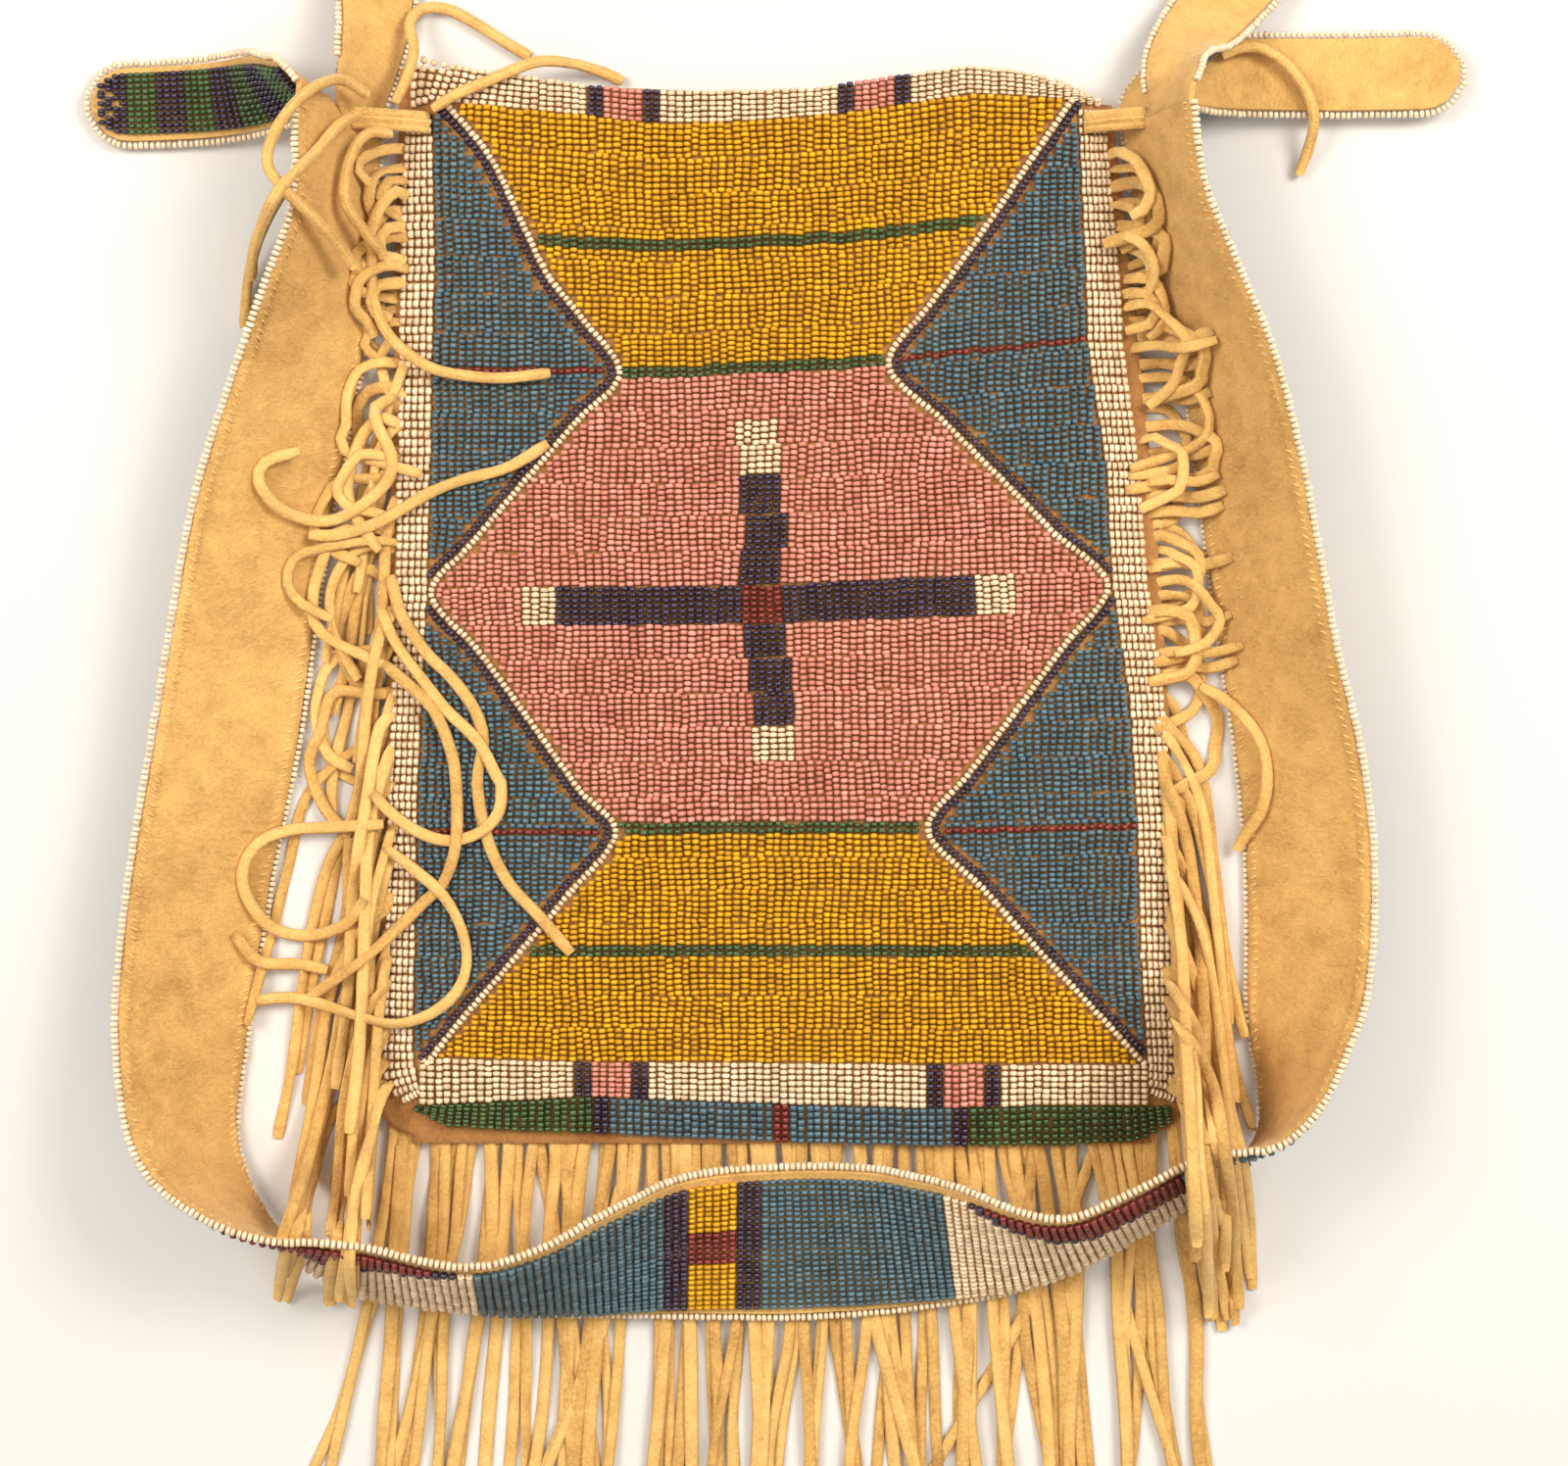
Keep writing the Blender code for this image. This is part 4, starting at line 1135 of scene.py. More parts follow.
@dataclass
class StrapForm:
    """The strap's way round the bag and its tails, as in its solid."""

    wide: float = 36.0
    hide: float = 1.5
    string_thickness: float = 1.8
    bead_thickness: float = 1.6
    inset: float = 1.6
    twist_gap: float = 1.5 * (36.0 / 57.0) ** 2
    floor: float = 0.4
    fringe: float = 3.3
    tip: float = 9.0
    tip_end: float = 0.22

    @property
    def route(self) -> tuple:
        """Rows of the share across and along the body, distances outwards, lean and surface."""
        f, g = self.floor, self.fringe
        return (
            (-1, 0.970, -7.6, 0.0, 25, f), (-1, 0.870, -8.2, 0.0, 24, f), (-1, 0.780, -9.8, 0.0, 34, f),
            (-1, 0.690, -13.0, 0.0, 43, f), (-1, 0.570, -18.5, 0.0, 52, f), (-1, 0.460, -21.8, 0.0, 56, f),
            (-1, 0.350, -25.2, 0.0, 58, f), (-1, 0.240, -30.0, 0.0, 55, f), (-1, 0.140, -33.5, 0.0, 52, f),
            (-1, 0.060, -36.0, 0.0, 46, f), (-1, 0.000, -38.0, -5.0, 32, f), (-1, 0.000, -35.5, -17.0, 14, 2.0),
            (-1, 0.000, -29.5, -28.5, -4, g), (-1, 0.000, -21.0, -38.5, -20, g), (-1, 0.000, -5.5, -47.0, -28, g),
            (-0.78, 0.0, 0.0, -51.0, -26, g), (-0.58, 0.0, 0.0, -52.0, -35, g), (-0.40, 0.0, 0.0, -52.0, -53, g),
            (-0.22, 0.0, 0.0, -52.2, -74, g), (0.02, 0.0, 0.0, -52.4, -84, g), (0.24, 0.0, 0.0, -51.2, -78, g),
            (0.42, 0.0, 0.0, -49.0, -62, g), (0.60, 0.0, 0.0, -46.0, -44, g), (0.76, 0.0, 0.0, -40.5, -30, g),
            (0.92, 0.0, 0.0, -31.5, -25, g), (1, 0.000, 10.0, -20.5, -22, g), (1, 0.000, 21.0, -9.5, -8, 2.4),
            (1, 0.010, 22.0, 0.0, 14, 1.0), (1, 0.080, 20.0, 0.0, 35, f), (1, 0.160, 20.5, 0.0, 43, f),
            (1, 0.250, 20.8, 0.0, 45, f), (1, 0.340, 19.6, 0.0, 43, f), (1, 0.430, 17.6, 0.0, 38, f),
            (1, 0.530, 15.6, 0.0, 36, f), (1, 0.620, 14.6, 0.0, 33, f), (1, 0.710, 13.4, 0.0, 28, f),
            (1, 0.790, 10.6, 0.0, 22, f), (1, 0.880, 6.4, 0.0, 18, f), (1, 0.970, 4.6, 0.0, 20, f),
        )

    def ribbon(self, step: float = 3.5) -> Ribbon:
        """Sections from the left fork round to the right one."""
        places = []
        for across, up, out_x, out_y, lean, surface in self.route:
            y = mix(-BODY.height / 2, BODY.height / 2, up)
            left, right = BODY.side(-1, np.array(y)), BODY.side(1, np.array(y))
            places.append((mix(left, right, (across + 1) / 2) + out_x, y + out_y, surface, lean))
        rows = smooth_line(np.array(places, float), step)
        travel = np.zeros((len(rows), 3))
        travel[1:-1, :2] = rows[2:, :2] - rows[:-2, :2]
        travel[0], travel[-1] = (0.0, -1.0, 0.0), (0.0, 1.0, 0.0)
        travel = unit(travel)
        lean = np.radians(rows[:, 3])[:, None]
        out = np.cross(travel, UP)
        width = UP * np.cos(lean) + out * np.sin(lean)
        low = np.column_stack([rows[:, :2], rows[:, 2] + self._lift(lean[:, 0])])
        half = self.wide / 2
        return Ribbon(low + width * half, width, np.full(len(rows), half), np.cross(travel, width))

    def _lift(self, lean: Array) -> Array:
        """How high the low edge stands so that nothing dips under the surface."""
        string = (0.3 + self.string_thickness / 2) * np.cos(lean) + self.string_thickness / 2
        beads = (self.hide / 2 + self.twist_gap + self.bead_thickness) * np.sin(lean) - self.inset * np.cos(lean)
        return np.maximum.reduce([string, beads, self.hide / 2 * np.abs(np.sin(lean))])


@dataclass
class TailForm:
    """One of the two tails of a strap end: rows are forward, outward, height and lean."""

    name: str
    side: int
    upper: bool
    route: tuple

    def ribbon(self, strap: Ribbon, form: StrapForm, step: float = 3.0) -> Ribbon:
        """Sections from the fork to the tip."""
        end = 0 if self.side < 0 else -1
        sign = 1 if self.upper else -1
        width = strap.width[end]
        root = strap.centre[end] + width * (form.wide / 4 * sign)
        lean = math.degrees(math.atan2(width[0] * self.side, width[2]))
        places = [(*root, lean)]
        for forward, outward, height, degrees in self.route:
            places.append((root[0] + self.side * outward, root[1] + forward, height, degrees))
        rows = smooth_line(np.array(places), step)
        centres = rows[:, :3]
        left = lengths_along(centres)[-1] - lengths_along(centres)
        beyond = np.clip(1 - left / form.tip, 0.0, 1.0)
        half = form.wide / 4 * np.maximum(np.sqrt(1 - beyond**2), form.tip_end)
        heading = np.zeros_like(centres)
        heading[1:-1], heading[-1], heading[0] = centres[2:] - centres[:-2], centres[-1] - centres[-2], (0, 1, 0)
        heading = unit(heading)
        out = unit(np.cross(heading, UP) * self.side)
        raised = unit(np.cross(out, heading) * self.side)
        lean = np.radians(rows[:, 3])[:, None]
        across = raised * np.cos(lean) + out * np.sin(lean)
        return Ribbon(centres, across, half, np.cross(heading, across) * self.side)


TAILS = (
    TailForm("left_side", -1, True, ((4.0, 1.0, 27.0, 12), (6.8, 5.0, 24.0, -14), (7.4, 11.0, 18.0, -42), (7.2, 19.0, 10.0, -66), (6.6, 30.0, 4.6, -82), (6.0, 44.0, 3.0, -87), (5.6, 60.0, 3.0, -88))),
    TailForm("left_up", -1, False, ((6.0, 0.0, 10.6, 30), (16.0, -2.0, 9.4, 42), (28.0, -3.5, 7.4, 58), (44.0, -3.5, 5.2, 76), (62.0, -2.0, 4.6, 84))),
    TailForm("right_side", 1, False, ((4.6, 1.2, 10.0, 28), (8.6, 5.4, 9.0, 42), (10.8, 12.0, 7.6, 58), (12.0, 20.0, 6.0, 72), (12.8, 30.0, 4.9, 83), (12.8, 50.0, 4.6, 86), (13.4, 80.0, 4.6, 87))),
    TailForm("right_up", 1, True, ((5.0, 0.8, 26.0, 26), (14.0, 3.0, 19.6, 46), (25.0, 10.4, 10.6, 70), (36.0, 19.6, 5.6, 82), (50.0, 31.0, 4.6, 85))),
)


class Strap:
    """The carrying strap: hide, beads outside, edgings, and the tails cut from its ends."""

    def __init__(self, bench: Bench, mould: BeadMould) -> None:
        """Works out the ribbons."""
        self.bench, self.mould, self.form = bench, mould, StrapForm()
        self.ribbon = self.form.ribbon()
        self.tails = {tail.name: (tail, tail.ribbon(self.ribbon, self.form)) for tail in TAILS}

    def build(self) -> list[bpy.types.Object]:
        """Makes the strap's pieces."""
        hide = self.hide_piece()
        return [hide, *self.beadwork(), *self.edgings(), *self.tail_beadwork(), self.stitches()]

    def hide_piece(self) -> bpy.types.Object:
        """The hide, with a sewn ridge along its edges, and its tails in one piece."""
        across = np.array([-1, -0.965, -0.92, -0.86, -0.78, -0.55, -0.28, 0.0, 0.28, 0.55, 0.78, 0.86, 0.92, 0.965, 1])
        ridge = np.interp(np.abs(across), (0.75, 0.85, 0.90, 0.95, 1.0), (0.0, 0.10, -0.35, -0.05, 0.25))
        ribbon = self.ribbon
        count = len(ribbon.centre)
        rng = np.random.default_rng(51)
        buckle = np.stack([wander(rng, count, 7.0, 0.25) for _ in across], axis=1) * (1 - np.abs(across)) ** 0.5
        pucker = np.stack([wander(rng, count, 1.2, 0.16) for _ in across], axis=1) * (np.abs(across) > 0.7)
        places = ribbon.at(across, ridge[None] + buckle * 0.6 + pucker)
        along = lengths_along(ribbon.centre)
        sheet = HideSheet(self.bench)
        lay = np.stack(np.broadcast_arrays(along[:, None], across[None] * 18.0), axis=-1) * MM
        numbers = sheet.grid(places, lay, turned=True)
        for tail, strip in self.tails.values():
            row = numbers[0] if tail.side < 0 else numbers[-1]
            shared = row[7:] if tail.upper else row[:8]
            own = np.linspace(-1, 1, 8)
            own_lay = np.stack(np.broadcast_arrays(lengths_along(strip.centre)[:, None] + along[-1] * (tail.side > 0), own[None] * 9.0 + 30.0), axis=-1) * MM
            sheet.grid(strip.at(own, np.zeros((1, 8))), own_lay, shared, turned=tail.side > 0)
        piece = sheet.make("strap_hide", 1.4, 0)
        self.bench.enter(piece, HideFinish("strap hide").make("HideLay"), "buckskin", "strap")
        return piece

    def _grid_beads(self, ribbon: Ribbon, rows: int, lanes: int, rng: np.random.Generator, arch: float, inset: float) -> Beads:
        """Strings across a ribbon, in lanes side by side, all still without a colour."""
        count = len(ribbon.centre)
        total = rows * lanes
        share = uneven_rows(rng, count, total, 0.04)
        offset = (ribbon.half[:, None] - inset) * (1 - 2 * share)
        bow = np.sin(math.pi * ((np.arange(total) % rows) + 0.5) / rows) * arch
        width = SEED.width * np.clip(1 + rng.normal(0, 0.05, (count, total)), 0.88, 1.12)
        lift = self.form.hide / 2 + width / 2 - SEED.sink + bow
        centre = ribbon.centre[:, None] + ribbon.width[:, None] * offset[..., None] + ribbon.face[:, None] * lift[..., None]
        along = np.gradient(centre, axis=1)
        length = np.linalg.norm(along, axis=-1)
        up = np.broadcast_to(ribbon.face[:, None], centre.shape)
        tone = 0.5 + rng.normal(0, 0.1, (count, 1)) + rng.normal(0, 0.17, (count, total))
        colour = np.full((count, total), None, dtype=object)
        return Beads(centre, along, up, width, length, colour, tone)

    def beadwork(self) -> list[bpy.types.Object]:
        """The four lanes on the strap's outer face."""
        basket = BeadBasket(self.bench, self.mould, "strap", np.random.default_rng(31))
        ribbon = self.ribbon.resampled(2.03)
        beads = self._grid_beads(ribbon, 6, 4, basket.rng, 0.35, self.form.inset)
        along = lengths_along(ribbon.centre)
        plan = VIEW.plan(ribbon.centre)
        low = plan[:, 1] > 1190
        middle = float(np.interp(727.0, plan[low, 0], along[low]))
        offset = along - middle
        total = beads.colour.shape[1]
        for string, distance in enumerate(offset):
            for row in range(total):
                beads.colour[string, row] = self._strap_colour(float(distance), row)
        basket.add(beads)
        return basket.sew("strap_beadwork")

    @staticmethod
    def _strap_colour(distance: float, row: int) -> Glass:
        """The strap's pattern.

        Args:
            distance: Millimetres along the strap from the middle bar.
            row: Bead row from the upper edge, 0 to 23.

        Returns:
            The colour.
        """
        near = abs((distance + 176) % 352 - 176)
        if near < 5.3:
            return Glass.RED if 9 <= row <= 14 else Glass.YELLOW
        if near < 11.4:
            return Glass.NAVY
        if near < 59.5:
            return Glass.BLUE
        if near < 120.0:
            step = (near - 64.0) / 2.03
            depth = row - min(step * 0.55, 9.0)
            if depth < 0:
                return Glass.RED if depth < -1.2 else Glass.NAVY
            return Glass.IVORY
        return Glass.BLUE

    def edgings(self) -> list[bpy.types.Object]:
        """The strings of ivory beads along both edges."""
        pieces = []
        for name, sign, width, seed in (("upper", 1, 2.15, 32), ("lower", -1, 1.8, 33)):
            basket = BeadBasket(self.bench, self.mould, "strap_edging_" + name, np.random.default_rng(seed))
            line = self.ribbon.beyond(sign, 1.05, 0.1)
            basket.add(self._string(basket.rng, line, self.ribbon.face, width))
            pieces += basket.sew("strap_edging_" + name)
        return pieces

    @staticmethod
    def _string(rng: np.random.Generator, line: Array, face: Array, width: float) -> Beads:
        """A string of beads end to end along a line."""
        rows = evenly(np.hstack([line, face]), 1.39)
        centre = rows[:, :3] + rng.normal(0, 0.06, (len(rows), 3))
        along = np.gradient(rows[:, :3], axis=0)
        sizes = width * np.clip(1 + rng.normal(0, 0.05, len(rows)), 0.88, 1.12)
        tone = 0.62 + rng.normal(0, 0.16, len(rows))
        colour = np.full(len(rows), Glass.IVORY, dtype=object)
        return Beads(centre, along, unit(rows[:, 3:6]), sizes, np.linalg.norm(along, axis=1), colour, tone)

    def tail_beadwork(self) -> list[bpy.types.Object]:
        """Green and navy stripes on the tails' outer faces, and their edgings."""
        pieces = []
        for number, (tail, strip) in enumerate(self.tails.values()):
            basket = BeadBasket(self.bench, self.mould, "tail_" + tail.name, np.random.default_rng(60 + number))
            ribbon = strip.resampled(1.86)
            keep = slice(5, len(ribbon.centre) - 1)
            ribbon = Ribbon(ribbon.centre[keep], ribbon.width[keep], ribbon.half[keep], ribbon.face[keep])
            beads = self._grid_beads(ribbon, 11, 1, basket.rng, 0.5, 1.3)
            back = np.arange(len(ribbon.centre))[::-1]
            rows = np.round((ribbon.half * 2 - 2.6) / 1.40)
            for string, place in enumerate(back):
                paint = Glass.NAVY if (place // 4) % 2 == 0 else Glass.GREEN
                beads.colour[string] = paint
                wanted = int(max(rows[string], 1))
                if wanted < 11:
                    kept = np.round(np.linspace(0, 10, wanted)).astype(int)
                    dropped = np.setdiff1d(np.arange(11), kept)
                    beads.colour[string, dropped] = None
                    beads.length[string] = 1.4
            basket.add(beads)
            pieces += basket.sew("tail_beadwork_" + tail.name)
            pieces += self._tail_edging(tail, strip, number)
        return pieces

    def _tail_edging(self, tail: TailForm, strip: Ribbon, number: int) -> list[bpy.types.Object]:
        """The string up one edge of a tail, round its tip and down the other."""
        sign = 1 if tail.upper else -1
        going = strip.beyond(sign, 0.0)[1:]
        coming = strip.beyond(-sign, 0.0)[:3:-1]
        outline = np.vstack([going, coming])
        face = np.vstack([strip.face[1:], strip.face[:3:-1]])
        tangent = np.gradient(outline, axis=0)
        outwards = unit(np.cross(tangent, face)) * (-tail.side * sign)
        line = outline + outwards * 1.15
        basket = BeadBasket(self.bench, self.mould, "tail_edging_" + tail.name, np.random.default_rng(70 + number))
        basket.add(self._string(basket.rng, line, face, 1.8))
        return basket.sew("tail_edging_" + tail.name)

    def stitches(self) -> bpy.types.Object:
        """Small whipped stitches of sinew inside the strap's edges."""
        rng = np.random.default_rng(81)
        ribbon = self.ribbon.resampled(2.1)
        starts, ends, faces = [], [], []
        for sign in (-1, 1):
            near = ribbon.beyond(sign, -0.9, -0.85) + rng.normal(0, 0.12, ribbon.centre.shape)
            far = ribbon.beyond(sign, -3.0, -0.72) + rng.normal(0, 0.2, ribbon.centre.shape)
            far[:-1] = mix(far[:-1], far[1:], 0.45)
            starts.append(near), ends.append(far), faces.append(-ribbon.face)
        piece = stitch_piece(self.bench, "strap_stitches", np.vstack(starts), np.vstack(ends), np.vstack(faces), 0.34)
        self.bench.enter(piece, HideFinish("sinew", (196, 150, 84), (236, 194, 122), (252, 224, 160)).make(), "buckskin")
        return piece


def stitch_piece(bench: Bench, name: str, starts: Array, ends: Array, faces: Array, thick: float) -> bpy.types.Object:
    """Short threads between pairs of points, bowed off a face, closed at both ends."""
    heading = unit(ends - starts)
    side = unit(np.cross(faces, heading))
    rings = []
    for share, bow, size in ((0.0, -0.5, 0.5), (0.25, 0.35, 1.0), (0.75, 0.35, 1.0), (1.0, -0.5, 0.5)):
        middle = mix(starts, ends, share) + faces * (thick * bow)
        ring = [middle + (side * math.cos(turn) + faces * math.sin(turn) * 0.7) * (thick * size) for turn in (0, math.pi / 2, math.pi, 3 * math.pi / 2)]
        rings.append(np.stack(ring, axis=1))
    points = np.stack(rings, axis=1)
    count = len(starts)
    quads = []
    for ring in range(3):
        for corner in range(4):
            following = (corner + 1) % 4
            quads.append((ring * 4 + corner, ring * 4 + following, ring * 4 + 4 + following, ring * 4 + 4 + corner))
    quads += [(3, 2, 1, 0), (12, 13, 14, 15)]
    block = np.array(quads)[None] + np.arange(count)[:, None, None] * 16
    return bench.take(name, points.reshape(-1, 3), [block.reshape(-1, 4)[:, ::-1]])


# Strands and laces
@dataclass
class Strand:
    """A narrow strip of hide along a line of points, flat or rolled over by its turn."""

    points: Array
    width: float
    thickness: float
    turn: Array


class StrandBundle:
    """Gathers strands and makes them one piece."""

    PROFILE = np.array([(-0.5, 0.0), (-0.34, -0.46), (0.34, -0.46), (0.5, 0.0), (0.34, 0.46), (-0.34, 0.46)])

    def __init__(self, bench: Bench) -> None:
        """Starts with no strands."""
        self.bench, self.strands = bench, []

    def make(self, name: str) -> bpy.types.Object:
        """One mesh of closed strips, each with its own row of the map."""
        points, faces, places, count = [], [], [], 0
        sides = len(self.PROFILE)
        total = len(self.strands)
        for number, strand in enumerate(self.strands):
            line = strand.points
            heading = unit(np.gradient(line, axis=0))
            side = unit(np.cross(UP, heading) + 1e-6)
            up = np.cross(heading, side)
            turn = np.asarray(strand.turn)[:, None]
            side, up = side * np.cos(turn) + up * np.sin(turn), up * np.cos(turn) - side * np.sin(turn)
            ends = lengths_along(line)
            taper = np.clip(np.minimum(ends, ends[-1] - ends) / 0.8, 0.0, 1.0) * 0.22 + 0.78
            ring = (
                line[:, None]
                + side[:, None] * (self.PROFILE[:, 0] * strand.width)[None, :, None] * taper[:, None, None]
                + up[:, None] * (self.PROFILE[:, 1] * strand.thickness)[None, :, None] * taper[:, None, None]
            )
            rows = len(line)
            at = count + np.arange(rows)[:, None] * sides + np.arange(sides)[None]
            following = np.roll(at, -1, axis=1)
            quads = np.stack([at[:-1], at[1:], following[1:], following[:-1]], axis=-1).reshape(-1, 4)
            caps = np.array([[at[0, i] for i in (0, 1, 2, 5)], [at[0, i] for i in (2, 3, 4, 5)], [at[-1, i] for i in (5, 2, 1, 0)], [at[-1, i] for i in (5, 4, 3, 2)]])
            points.append(ring.reshape(-1, 3))
            faces += [quads[:, ::-1], caps]
            u = np.repeat(ends / max(ends[-1], 1e-6), sides) * 0.98 + 0.01
            across = np.tile(np.array([0.0, 0.2, 0.4, 0.5, 0.7, 0.9]), rows)
            places.append(np.stack([u, (number + 0.05 + across * 0.95) / total], axis=1))
            count += rows * sides
        block = [np.vstack([part for part in faces])]
        piece = self.bench.take(name, np.vstack(points), block)
        self.bench.drop_into(piece, BEAD_MAP, np.vstack(places)[block[0].ravel()])
        return piece


def laid(pile: Pile, plan: Array, thickness: float, width: float, root: float | None, ceiling: float | None = None, step: float = 2.6) -> Array:
    """Lays a strand along plan places over all that lies there already.

    Args:
        pile: What lies there; it gains the strand.
        plan: Plan places of the route.
        thickness: The strand's thickness.
        width: The strand's width.
        root: Height of the seam that its start comes from, or None.
        ceiling: A height that it stays under, or None.
        step: Distance between the new points.

    Returns:
        The strand's middle line in millimetres.
    """
    line = smooth_line(np.asarray(plan, float), step * 4.1)
    height = np.full(len(line), 5.0)
    for _ in range(3):
        points = VIEW.place(line, height)
        base = pile.under(points, width * 0.4)
        if ceiling is not None:
            base = np.minimum(base, ceiling - thickness)
        wide = np.maximum.reduce([np.roll(base, shift) for shift in (-1, 0, 1)])
        wide[0], wide[-1] = base[0], base[-1]
        soft = wide
        for _ in range(4):
            soft = np.convolve(np.pad(soft, 1, mode="edge"), (0.25, 0.5, 0.25), mode="valid")
        height = np.maximum(soft, base * 0.9 + 0.0) + thickness * 0.5
        if root is not None:
            along = lengths_along(points)
            height = mix(root, height, ease(along / 6.0))
        height = np.maximum(height, thickness * 0.5)
    points = VIEW.place(line, height)
    top = points + UP * (thickness * 0.42)
    heading = unit(np.gradient(points, axis=0))
    side = unit(np.cross(UP, heading))
    dense = at_lengths(np.hstack([top, side]), np.arange(0, lengths_along(top)[-1], 0.5))
    start = 0 if root is None else 8
    for offset in (-0.4, -0.2, 0.0, 0.2, 0.4):
        pile.stamp(dense[start:, :3] + dense[start:, 3:6] * (offset * width))
    return points


LEFT_OVER = (
    ((404, 405), (383, 415), (385, 434), (399, 463), (398, 485), (379, 508), (343, 530), (312, 530), (283, 517), (264, 492), (270, 472), (305, 460)),
    ((315, 546), (343, 546), (379, 536), (404, 523), (436, 504), (471, 490), (512, 479), (538, 466), (559, 452)),
    ((398, 587), (410, 629), (436, 667), (461, 692), (484, 724), (493, 756), (487, 800), (497, 856), (519, 901), (551, 936), (583, 973)),
    ((388, 622), (404, 657), (430, 692), (455, 724), (487, 756), (506, 791), (511, 799), (509, 828), (490, 849), (461, 858), (433, 852), (404, 834), (379, 809)),
    ((391, 677), (417, 699), (442, 724), (458, 760), (465, 795), (465, 860), (452, 901), (433, 920), (404, 949), (372, 978), (337, 1003), (315, 1018)),
    ((391, 863), (423, 888), (452, 914), (471, 949), (476, 984), (465, 1013), (439, 1035), (404, 1045), (369, 1038), (328, 1025), (296, 1018), (261, 1021)),
    ((391, 841), (343, 844), (296, 847), (264, 860), (248, 885), (251, 914), (276, 946), (315, 955), (353, 943), (372, 917)),
    ((238, 952), (264, 981), (305, 984), (334, 990)),
)
RIGHT_OVER = (
    ((1225, 700), (1250, 714), (1275, 738), (1290, 765), (1293, 800), (1286, 830), (1272, 850), (1262, 868)),
)


class Fringe:
    """The hide fringes in the seams."""

    def __init__(self, bench: Bench, pile: Pile) -> None:
        """Keeps the pile that the strands lie on."""
        self.bench, self.pile = bench, pile

    def build(self) -> list[bpy.types.Object]:
        """Makes the three fringes."""
        finish = self.finish()
        pieces = []
        for name, work in (("fringe_bottom", self._bottom), ("fringe_right", self._right), ("fringe_left", self._left)):
            bundle = StrandBundle(self.bench)
            work(bundle)
            piece = bundle.make(name + "_strands")
            self.bench.enter(piece, finish, "buckskin", name)
            pieces.append(piece)
        return pieces

    @staticmethod
    def finish() -> bpy.types.Material:
        """Napped hide, a little different from strand to strand."""
        tree = NodeTree("fringe hide")
        along, row, _ = tree.map_places(BEAD_MAP)
        own = tree.node("ShaderNodeTexWhiteNoise", {"noise_dimensions": "1D"}, {"W": (row * 96.0).floor()})
        own_tone = Signal(tree, own.outputs[0])
        places = tree.object_places()
        clouds = tree.noise(places, 160.0, 3.0)
        nap = tree.noise(places, 1100.0, 4.0, 0.8)
        tone = own_tone * 0.22 + clouds * 0.4 + nap * 0.5 - 0.05
        colour = tree.ramp(tone, (0.2, linear((168, 120, 58))), (0.5, linear((222, 176, 102))), (0.8, linear((246, 208, 132))))
        tree.feed(
            tree.shader,
            {"Base Color": colour, "Roughness": nap * 0.1 + 0.84, "Specular IOR Level": 0.25, "Sheen Weight": 0.3, "Sheen Tint": (1.0, 0.86, 0.62, 1.0)},
        )
        tree.bump(nap, 0.00035)
        return tree.material

    def _add(self, bundle: StrandBundle, rng: np.random.Generator, plan: Array, width: float, root: float | None, ceiling: float | None = None, roll: float = 0.35, thickness: float = 1.15) -> None:
        """Lays one strand and keeps it."""
        points = laid(self.pile, plan, thickness, width, root, ceiling)
        turn = wander(rng, len(points), 7.0, roll)
        bundle.strands.append(Strand(points, width, thickness, turn))

    def _bottom(self, bundle: StrandBundle) -> None:
        """Long strands from the bottom seam, which the strap lies across."""
        rng = np.random.default_rng(91)
        roots = np.linspace(402, 1200, 76) + rng.normal(0, 2.0, 76)
        for number in rng.permutation(len(roots)):
            u = roots[number]
            spread = (u - 805) / 390
            crossing = rng.normal(0, 14) if rng.random() < 0.72 else rng.normal(0, 70)
            tip_u = u + spread * 40 + crossing
            start = 1128 + 8 * (1 - abs(spread) ** 6)
            end = 1565 + rng.normal(0, 22)
            bend = rng.normal(0, 8)
            plan = [(u, start)]
            for share in (0.12, 0.3, 0.5, 0.75, 1.0):
                plan.append((mix(u, tip_u, share ** 1.15) + bend * math.sin(math.pi * share * 1.4) + rng.normal(0, 2.5), mix(start, end, share)))
            self._add(bundle, rng, np.array(plan), rng.uniform(2.7, 3.7), 2.3, 3.0, 0.25)

    def _side_u(self, sign: int, v: float) -> float:
        """Plan place of the seam at plan height v."""
        y = VIEW.place(np.array([800.0, v]), 3.0)[1]
        return float(VIEW.plan(np.array([BODY.side(sign, np.array(y)), y, 3.0]))[0])

    def _hook(self, rng: np.random.Generator, u: float, v: float, side: int, reach: float, fall: float, back: float) -> Array:
        """A strand that runs out, hooks over and drops back."""
        shape = ((0, 0), (0.35, -0.04), (0.7, 0.04), (0.95, 0.3), (1.0, 0.6), (0.85, 0.9), (0.85 - back, 1.12))
        wild = rng.normal(0, 0.045, (len(shape), 2))
        return np.array([(u + side * reach * (a + wa), v + fall * (b + wb)) for (a, b), (wa, wb) in zip(shape, wild)])

    def _flow(self, rng: np.random.Generator, u: float, v: float, side: int, out: float, length: float) -> Array:
        """A strand that leaves the seam and flows down and outwards."""
        bow = rng.uniform(0.2, 0.6)
        shape = ((0, 0), (0.25, 0.05), (0.45 + 0.2 * bow, 0.22), (0.6 + 0.3 * bow, 0.48), (0.75 + 0.3 * bow, 0.75), (1.0, 1.0))
        wild = rng.normal(0, 0.04, (len(shape), 2))
        wild[0] = 0
        return np.array([(u + side * out * (a + wa), v + length * (b + wb * 0.4)) for (a, b), (wa, wb) in zip(shape, wild)])

